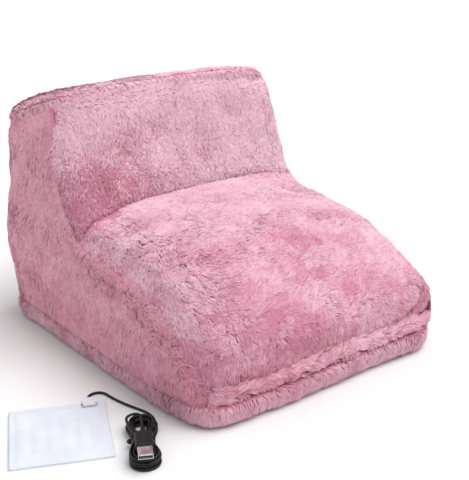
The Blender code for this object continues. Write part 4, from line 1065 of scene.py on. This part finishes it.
def fold_depth(points):
    """How far into the fold by the toe's right corner: full on its bowed line, falling off
    beside it as a bell curve, and only on the toe's front."""
    start, end = np.array(FOLD_START), np.array(FOLD_END)
    place = points[..., [0, 2]] - start
    run = end - start
    share = np.clip(place @ run / (run @ run), 0, 1)
    bow = np.array(FOLD_BOW) * (4 * share * (1 - share))[..., None]
    away = np.linalg.norm(place - share[..., None] * run - bow, axis=-1)
    return np.exp(-(away / FOLD_WIDTH) ** 2) * ramp(points[..., 1], -0.165, -0.173)


CREASE_LINE = stuffed(refine(outside.toe()[:, 0], 8))
RIM_SEAM = stuffed(RIM_LINE[::2])


def plumped(points):
    """Walls as they stand in use: the foot filled out at the sides and behind but not over the
    zip, the right shoulder of the shank out, the right toe corner out low down, the fold let
    in, and the crease's right end raised and drawn forwards as a bell curve about its line."""
    x, y, z = points[..., 0], points[..., 1], points[..., 2]
    made = points.copy()
    height = ramp(z, 0.019, 0.023) * ramp(z, 0.165, 0.055)
    beside = np.sign(x) * ramp(np.abs(x), 0.11, 0.16)
    behind = ramp(y, 0.13, 0.17) * ramp(np.abs(x), 0.095, 0.125)
    made[..., 0] += FOOT_FILL * height * beside
    made[..., 1] += FOOT_FILL * height * behind
    shoulder = ramp(z, 0.105, 0.195) * ramp(z, 0.25, 0.232)
    made[..., 0] += SHOULDER_FILL * shoulder * ramp(x, 0.08, 0.13)
    corner = ramp(x, 0.10, 0.16) * ramp(y, -0.10, -0.16)
    made[..., 0] += TOE_CORNER_FILL * corner * ramp(z, 0.09, 0.05)
    made[..., 1] += FOLD_DEPTH * fold_depth(points)
    gap = np.linalg.norm(points[..., None, :] - CREASE_LINE, axis=-1).min(axis=-1)
    lifted = CREASE_LIFT * np.exp(-(gap / CREASE_WIDTH) ** 2) * ramp(x, 0.04, 0.10)
    made[..., 1] -= CREASE_FORWARD * lifted
    made[..., 2] += CREASE_UP * lifted
    return made


def wall(name, outer, inner, crown, across, along, flow, seed, density=1.8e6, length=0.0075,
         width=0.0008, clump=0.005, lift=0.30, keep_pile=None, recess=0.0, look=pink_plush,
         nap=0.0, speckle=0.10, stray=0.22):
    """Cover, filling and lining of one panel of the wall, for its three CAD nodes. The cover's
    backing lies under the outline by the pile's depth, less soft lumps, and deeper by the
    recess round the zip."""
    inner = fine(inner, across, along)
    plain = fine(outer, across, along)
    rim = rimmed(plain[:, -1])
    outer = plumped(stuffed(swollen(plain, inner, crown, rim)))
    inner = bowed(inner)
    normal = outward(outer, inner)
    seam = np.minimum.outer(seam_free(outer.shape[0]), seam_free(outer.shape[1]))
    lumps = ripple(outer, 0.045, seed) * 0.0012 + ripple(outer, 0.016, seed + 30) * 0.0006
    slot = (ramp(np.abs(outer[..., 0]), SLOT_HALF, SLOT_HALF - SLOT_EDGE)
            * ramp(outer[..., 2], SLOT_TOP, SLOT_TOP - SLOT_EDGE))
    skin = outer - normal * (PILE_DEPTH - lumps * seam + recess * slot)[..., None]
    wall_tops.append((plain[rim > 0.9, -1], skin[rim > 0.9, -1]))
    skin = drawn_in(skin, SEAM_GAP)
    core = drawn_in(inner, SEAM_GAP)
    covered(name + "_plush", skin, toward(skin, core, COVER_CLOTH), normal, look,
            [name + "_cover"], density=density, length=length, width=width, flow=flow,
            seed=seed, clump=clump, lift=lift, keep=keep_pile, nap=nap, speckle=speckle,
            stray=stray)
    stuffing = panel(toward(skin, core, COVER_TO_FILLING), toward(core, skin, LINING_TO_FILLING))
    filler = piece(name + "_filling", [stuffing], filling, [name + "_wadding"])
    covered(name + "_lining_plush", toward(core, skin, LINING_PILE),
            toward(core, skin, LINING_BACK), normals(core, skin), pale_plush,
            [name + "_lining"], slot="lining_plush", fill=0.4, density=0.22e6,
            flow=(0, 0, -1), seed=seed + 50, **LINING_TUFTS)


def slot_free(points):
    """Pile that stays off the zip's slot."""
    return ~((np.abs(points[:, 0]) < BARE_HALF) & (points[:, 2] < BARE_TOP))


def side_flow(centre):
    """Down, a little towards the back, but forwards over the toe's seam beside it."""
    seam_y, seam_z = outside.toe_seam()[::-1, 1:].T
    under = np.interp(centre[:, 1], seam_y, seam_z) - centre[:, 2]
    near = ramp(under, 0.026, 0.008) * ramp(centre[:, 1], CREASE_Y, CREASE_Y - 0.03)
    return np.stack([near * 0, 0.25 - 1.15 * near, 1.15 * near - 1.0], axis=1)


def shin_flow(centre):
    """Down, but beside the rim turning sideways and a little upwards over its seam."""
    gap = np.linalg.norm(centre[:, None, :] - RIM_SEAM, axis=-1).min(axis=-1)
    turn = 0.62 * math.pi * ramp(gap, 0.022, 0.002)
    return np.stack([np.sin(turn), -0.1 * np.cos(turn), -np.cos(turn)], axis=1)


# Places in x and z, half widths, half heights and depths of the brushed patches
BRUSHED_PATCHES = ((-0.045, 0.208, 0.045, 0.012, 0.34), (0.085, 0.212, 0.020, 0.010, 0.24))


def shin_nap(centre):
    """Painted light towards the rim and the right, painted shade in deep rose down to the crease's
    left end and on the left below the rim, a little random tone, and two brushed patches under
    the rim, which fall off as bell curves."""
    x, _, z = centre.T
    left = ramp(x, 0.03, -0.09)
    low = smooth((0.178 + 0.035 * left - z) / 0.06)
    made = (0.46 - low * (0.40 + 0.30 * left) - 0.08 * ripple(centre, 0.07, 61)
            + 0.30 * ramp(x, 0.06, 0.09) - 0.24 * left * ramp(z, 0.245, 0.175))
    for patch_x, patch_z, wide, high, depth in BRUSHED_PATCHES:
        away = ((x - patch_x) / wide) ** 2 + ((z - patch_z) / high) ** 2
        made = made - depth * np.exp(-away)
    return made


def toe_nap(centre):
    """Painted light by the crease and along the right, painted shade down the front, on the crown
    away from its sides and in the fold, and a little random tone.
    """
    x, y, z = centre.T
    left = ramp(x, -0.07, -0.14)
    right = ramp(x, 0.01, 0.08)
    front = ramp(z, 0.125, 0.030)
    crown = ramp(y, -0.055, -0.105) * (1 - front)
    return (0.10 - 0.46 * front - 0.34 * crown * (1 - 0.9 * right - 0.75 * left)
            - 0.9 * fold_depth(centre) ** 4 - 0.08 * ripple(centre, 0.045, 62))


def side_nap(centre):
    """Painted shade, a little deeper towards the foot."""
    return 0.05 - 0.20 * ramp(centre[:, 2], 0.12, 0.02)


def toe_flow(centre):
    """Brushed sideways on top, forwards beside the left seam, and hanging down in front."""
    x, _, z = centre.T
    top = ramp(z, 0.044, 0.089)
    side = ramp(x, -0.13, -0.04)
    return np.stack([1.2 * side * top + 4.0 * x * (1 - top),
                     (0.65 * side - 0.5) * top - 0.3 * (1 - top),
                     (0.4 * side - 0.3) * top - (1 - top)], axis=1)


for name, hand, seed in (("right_side", 1, 11), ("left_side", MIRROR, 12)):
    wall(name, outside.side() * hand, inside.side() * hand, crown=0.007, across=4, along=6,
         flow=side_flow, seed=seed, length=0.0065, width=0.0009, clump=0.007, lift=0.24,
         look=shaded_plush, nap=side_nap)
wall("toe", outside.toe(), inside.toe(), crown=0.0, across=6, along=7, flow=toe_flow, seed=13,
     density=1.5e6, length=0.0066, width=0.0014, clump=0.009, lift=0.20, nap=toe_nap,
     speckle=0.16, stray=0.20)
wall("collar", outside.collar()[:, ::-1], inside.collar()[:, ::-1], crown=0.009, across=6,
     along=7, flow=shin_flow, seed=14, density=1.5e6, length=0.0060, width=0.0014,
     clump=0.0035, lift=0.25, nap=shin_nap, speckle=0.36, stray=0.36)
wall("back", outside.back(), inside.back(), crown=0.006, across=6, along=8,
     flow=(0.0, 0.1, -1.0), seed=15, keep_pile=slot_free, recess=0.0045)


def closed_tube(name, rings, nodes, blades):
    """Stuffed roll: a body of rings of points, closed round both ways, and its pile."""
    columns, rows = rings.shape[:2]
    # Backing in painted shade, where it shows between the tufts
    backing = part(rings, grid_faces(columns, rows, True, True),
                   grid_uv(columns, rows, *CLOTH_CHART), **SHADED_BACKING)
    made = piece(name, [backing, *blades], pink_plush, nodes)


def plan_ring(inset, count):
    """Points round the boot's footprint, drawn in by an inset, evenly spaced along it."""
    wide, long, radius = HALF_WIDTH - inset, HALF_LENGTH - inset, CORNER - inset
    angle = np.radians(np.arange(0, 91, 6))
    corner = np.stack([wide - radius + radius * np.cos(angle),
                       long - radius + radius * np.sin(angle)], axis=-1)
    turned = corner[::-1]
    line = np.concatenate([corner, turned * [-1, 1], -corner, turned * [1, -1]])
    line = np.concatenate([line, line[:1]])
    run = np.concatenate([[0], np.cumsum(np.linalg.norm(np.diff(line, axis=0), axis=1))])
    at = np.arange(count) / count * run[-1]
    return np.stack([np.interp(at, run, line[:, k]) for k in (0, 1)], axis=-1)


def border_free(points):
    """Pile of the border that stays off the zip and the slider's way."""
    return ~((np.abs(points[:, 0]) < 0.086) & (points[:, 1] > 0.160) & (points[:, 2] > 0.0150))


def sole_border():
    """Stuffed roll round the foot: a half ellipse outside, drawn in further under its middle
    than over it, and a flat wall against the foam."""
    count, foot, clear = 260, 0.0023, 0.0008
    under_tuck, over_tuck, pile_depth = 0.011, 0.0045, 0.0028
    rings = []
    for angle in np.radians(np.linspace(-90, 90, 13)):
        tuck = under_tuck if angle < 0 else over_tuck
        drawn = tuck * (1 - math.cos(angle)) + pile_depth * (0.35 + 0.65 * math.cos(angle))
        z = foot + clear + (BORDER_TOP - foot - 2 * clear) * (1 + math.sin(angle)) / 2
        ring = stuffed(np.column_stack([plan_ring(drawn, count), np.full(count, z)]))
        ring[:, 0] -= 0.0035 * ramp(ring[:, 0], 0.10, 0.15) * ramp(ring[:, 1], 0.0, -0.10)
        rings.append(ring)
    outer = np.stack(rings, axis=1)
    lumps = ripple(outer, 0.05, 71) * 0.0008
    middle = np.array([0.0, 0.0, 0.012])
    away = outer - middle
    away[..., 2] = 0
    away /= np.linalg.norm(away, axis=2, keepdims=True)
    outer = outer + away * lumps[..., None]
    hole = plan_ring(0.0238, count)
    inner = np.stack([np.column_stack([hole, np.full(count, z)])
                      for z in (BORDER_TOP - clear, middle[2], foot + clear)], axis=1)
    wrapped = np.concatenate([outer, outer[:1]])
    up = normals(wrapped, np.zeros_like(wrapped) + middle)
    blades = pile(wrapped, up, density=1.6e6, length=0.0075, width=0.0008,
                  flow=(0.0, -0.1, -1.0), seed=72, lift=0.32, keep=border_free)
    closed_tube("sole_border_plush", np.concatenate([outer, inner], axis=1), ["sole_border"],
                blades)


sole_border()


def front_flow(centre):
    """Down at the foot, turning sideways and a little upwards over the crease at its top."""
    turn = 0.72 * math.pi * ramp(centre[:, 2], BORDER_TOP, FRONT_TOP)
    return np.stack([centre[:, 0] * 2 + np.sin(turn), -0.3 * np.cos(turn) - 0.1,
                     -np.cos(turn)], axis=1)


def front_roll():
    """Stuffed band over the border, before the toes: the wall's foot with a crown of its own."""
    outer = fine(outside.front_roll(), 10, 6)
    inner = fine(inside.front_roll(), 10, 6)
    outer = plumped(stuffed(swollen(outer, inner, 0.007)))
    normal = outward(outer, inner)
    pile_depth = 0.0032 - ripple(outer, 0.03, 81) * 0.0009
    skin = drawn_in(outer - normal * pile_depth[..., None], SEAM_GAP)
    # The band's tone is lowered all over as painted shade
    covered("front_roll_plush", skin, drawn_in(inner, SEAM_GAP), normal, pink_plush,
            ["front_roll"], density=1.7e6, length=0.0092, width=0.0014, flow=front_flow,
            seed=82, clump=0.009, lift=0.22, nap=-0.15, speckle=0.16, stray=0.20)


front_roll()


def rim_flow(centre):
    """Along the rim, as if turning about the shank's middle, and a little inwards."""
    x, y = centre[:, 0], centre[:, 1] - 0.12
    return np.stack([-8 * y - 3 * x, 8 * x - 3 * y, x * 0 + 0.1], axis=1)


def rim_nap(centre):
    """Pale as painted light, with painted shade a little deeper on the left."""
    return 0.38 - 0.30 * ramp(centre[:, 0], -0.07, -0.12)


def rim_roll():
    """Smooth stuffed roll on the rim: an arch of rings from the outer to the inner line, which
    stands square to the rim's slope. The outer line is that of the walls' top edges, weighted
    by the fourth power of their nearness."""
    high, tall, bulge, under = 0.0094, 0.8, 0.0012, 0.0004
    inner = bowed(refine(np.concatenate([inside.rim_ring(), inside.rim_ring()[:1]]), 8)[:-1])
    plain, skin = (np.concatenate(rows) for rows in zip(*wall_tops))
    gap = np.linalg.norm(RIM_LINE[:, None, :] - plain[None, :, :], axis=2)
    weight = 1 / (gap + 0.0015) ** 4
    weight /= weight.sum(axis=1, keepdims=True)
    outer = weight @ skin
    tilt = math.atan2(RIM["drop"], RIM["back"] - RIM["front"])
    up = np.array([0.0, math.sin(tilt), math.cos(tilt)])
    out = outer - inner
    out /= np.linalg.norm(out, axis=1, keepdims=True)
    angles = np.radians(np.linspace(0, 180, 15))
    rings = []
    for angle in angles:
        share = (1 - math.cos(angle)) / 2
        line = outer * (1 - share) + inner * share
        line = line + up * (SEAM_GAP + high * math.sin(angle) ** tall)
        line = line + out * (bulge * math.sin(2 * angle) - under * math.cos(angle))
        rings.append(line)
    over = np.stack(rings, axis=1)
    lumps = ripple(over, 0.04, 91) * 0.0007
    over = over + up * (lumps * np.sin(angles))[..., None]
    below = np.stack([inner * 0.7 + outer * 0.3, outer * 0.7 + inner * 0.3], axis=1) + up * under
    wrapped = np.concatenate([over, over[:1]])
    middle = np.concatenate([(outer + inner) / 2, ((outer + inner) / 2)[:1]])[:, None, :]
    normal = normals(wrapped, np.broadcast_to(middle, wrapped.shape))
    tufts = {"density": 1.5e6, "width": 0.0014, "nap": rim_nap, "speckle": 0.2}
    skirt = pile(wrapped[:, :4], normal[:, :4], length=0.0070, flow=(0.5, 0, -1), seed=92,
                 lift=0.12, **tufts)
    top = pile(wrapped[:, 3:], normal[:, 3:], length=0.0060, flow=rim_flow, seed=93,
               lift=0.14, **tufts)
    closed_tube("rim_roll_plush", np.concatenate([over, below], axis=1), ["rim_roll"],
                skirt + top)


rim_roll()


def plan_slab(name, inset, low, high, look, nodes, lumps=0.0, seed=1, pile_of=None,
              shaped=False):
    """Slab on the rounded footprint: columns and rows closer together towards its edge, its top
    rounded off at the edge and lowered by lumps, its underside flat."""
    wide, long, radius = HALF_WIDTH - inset, HALF_LENGTH - inset, CORNER - inset
    u = np.sin(np.linspace(-90, 90, 41) * math.pi / 180)
    y = long * np.sin(np.linspace(-90, 90, 49) * math.pi / 180)
    over = np.maximum(np.abs(y) - (long - radius), 0)
    half = wide - radius + np.sqrt(np.maximum(radius ** 2 - over ** 2, 0))
    x = u[:, None] * half[None, :]
    edge = np.minimum.outer(1 - np.abs(u), 1 - np.abs(y / long))
    z = high - (high - low) * 0.3 * (1 - ramp(edge, 0.0, 0.05))
    plan = np.stack([x, np.broadcast_to(y, x.shape), z], axis=-1)
    if shaped:
        plan = stuffed(plan)
    plan[..., 2] -= lumps * (1 + ripple(plan, 0.05, seed)) / 2 * ramp(edge, 0.0, 0.1)
    under = plan.copy()
    under[..., 2] = low
    blades = []
    if pile_of:
        blades = pile(plan, normals(plan, under), **pile_of)
    made = piece(name, [panel(plan, under), *blades], look, nodes)


plan_slab("outsole_cloth", inset=0.0112, low=0.0, high=0.002, look=grip_cloth,
          nodes=["outsole"], shaped=True)
plan_slab("sole_foam_block", inset=0.0245, low=0.0024, high=0.0218, look=sole_filling,
          nodes=["sole_foam"], lumps=0.0006, seed=3)
plan_slab("insole_plush", inset=0.0262, low=0.0286, high=0.0345, look=pale_plush,
          nodes=["insole"], lumps=0.0012, seed=5,
          pile_of={"density": 0.25e6, "flow": (0, -1, 0), "seed": 95, **LINING_TUFTS})


def pad_sleeve():
    """Cloth sleeve folded in front, sewn down both sides and open towards the zip: each layer
    is half the sleeve's height from its middle and meets the other at the sides."""
    low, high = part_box("pad_pocket")
    middle, cloth, sewn, rows = (low + high) / 2, 0.0007, 0.0011, 30
    half = (high[2] - low[2]) / 2 - 0.0004
    u = np.sin(np.linspace(-90, 90, 45) * math.pi / 180)
    shut = ramp(np.abs(u), 1.0, 0.95)[:, None]
    run = np.linspace(high[1], low[1] + half, rows)
    fold = np.radians(np.arange(-80, 81, 20))
    rise = np.concatenate([-np.ones(rows), np.sin(fold), np.ones(rows)])
    grids = []
    for inset in (0.0, cloth):
        y = np.concatenate([run, low[1] + half - (half - inset) * np.cos(fold), run[::-1]])
        x = middle[0] + u * ((high[0] - low[0]) / 2 - 0.0006 - inset)
        tall = (half - inset) * shut + (sewn - inset) * (1 - shut)
        grid = np.stack(np.broadcast_arrays(x[:, None], y[None, :], rise[None, :] * tall), axis=-1)
        waves = ripple(grid * [1, 1, 0], 0.045, 97)[..., None] * [0, 0, 0.0003]
        grids.append(grid + waves * shut[..., None] * [0, 0, 1] + [0, 0, middle[2]])
    made = piece("pad_sleeve_cloth", [panel(grids[0], grids[1])], sleeve_cloth, ["pad_pocket"])


pad_sleeve()


# Heating insert

def insert_sheet(name, height, nodes):
    """Cloth cut to the insert's rounded outline, with a notch for the lead's joint, lying at
    given heights. Its edge is wherever a side belongs to one square only, and is walled there."""
    wide, long, radius = INSERT["wide"], INSERT["long"], INSERT["corner"]
    y = np.concatenate([-long + radius * (1 - np.cos(np.radians([0, 30, 60]))),
                        np.linspace(-long + radius, long - radius, 41),
                        long - radius * (1 - np.cos(np.radians([60, 30, 0])))])
    over = np.maximum(np.abs(y) - (long - radius), 0)
    half = wide - radius + np.sqrt(np.maximum(radius ** 2 - over ** 2, 0))
    x = np.linspace(-1, 1, 44)[:, None] * half[None, :]
    y = np.broadcast_to(y, x.shape)
    plan = np.stack([x, y, height(x, y)], axis=-1)
    columns, rows = x.shape
    middle = (plan[:-1, :-1] + plan[1:, 1:]) / 2
    notch = ((np.abs(middle[..., 0] - INSERT["joint_x"]) < INSERT["joint_half"])
             & (middle[..., 1] > INSERT["notch_y"]))
    faces = grid_faces(columns, rows)[~notch.ravel()]
    sides = np.concatenate([np.stack([faces[:, k], faces[:, (k + 1) % 4]], axis=1)
                            for k in range(4)])
    known = {(int(a), int(b)) for a, b in sides}
    open_sides = np.array([(a, b) for a, b in known if (b, a) not in known])
    open_sides = open_sides[np.lexsort(open_sides.T)]
    count = columns * rows
    under = on_floor(INSERT, plan).reshape(-1, 3)
    top = under + [0, 0, INSERT["cloth"]]
    wall_faces = np.stack([open_sides[:, 1], open_sides[:, 0], open_sides[:, 0] + count,
                           open_sides[:, 1] + count], axis=1)
    every = np.concatenate([faces, faces[:, ::-1] + count, wall_faces])
    used, every = np.unique(every, return_inverse=True)
    every = every.reshape(-1, 4)
    uv = np.concatenate([grid_uv(columns, rows, (0, 0), (0.49, 1)),
                         grid_uv(columns, rows, (0.51, 0), (1, 1))])[used]
    corner_uv = uv[every.ravel()].reshape(-1, 4, 2)
    corner_uv[-len(wall_faces):, 2:] = corner_uv[-len(wall_faces):, 1::-1]
    points = np.concatenate([top, under])[used]
    made = piece(name, [part(points, every, corner_uv.reshape(-1, 2))], white_cloth, nodes)


def flat_height(x, y):
    """The lower cloth lies on the floor."""
    return np.full(np.broadcast(x, y).shape, FLOOR_GAP)


def quilted_height(x, y):
    """Upper cloth: hem pressed down, then up over the wires, with a dip between the runs that
    follows a cosine over their pitch, and small puckers."""
    first_run, pitch, hem, raised = 0.031, 0.0124, 0.0011, 0.0017
    edge = np.minimum(INSERT["wide"] - np.abs(x), INSERT["long"] - np.abs(y))
    runs = (np.cos((x - first_run) / pitch * math.tau) + 1) / 2
    along = ramp(np.abs(y + 0.004), 0.027, 0.023)
    puckers = ripple(np.stack([x, y * 0.4, x * 0], axis=-1), 0.012, 7) * 0.00018
    dip = 0.0009 * (1 - runs ** 0.7) * along
    return hem + (raised - dip + puckers) * ramp(edge, 0.0045, 0.0080)


insert_sheet("pad_bottom_cloth", flat_height, ["pad_bottom_cover"])
insert_sheet("pad_top_cloth", quilted_height, ["pad_top_cover"])
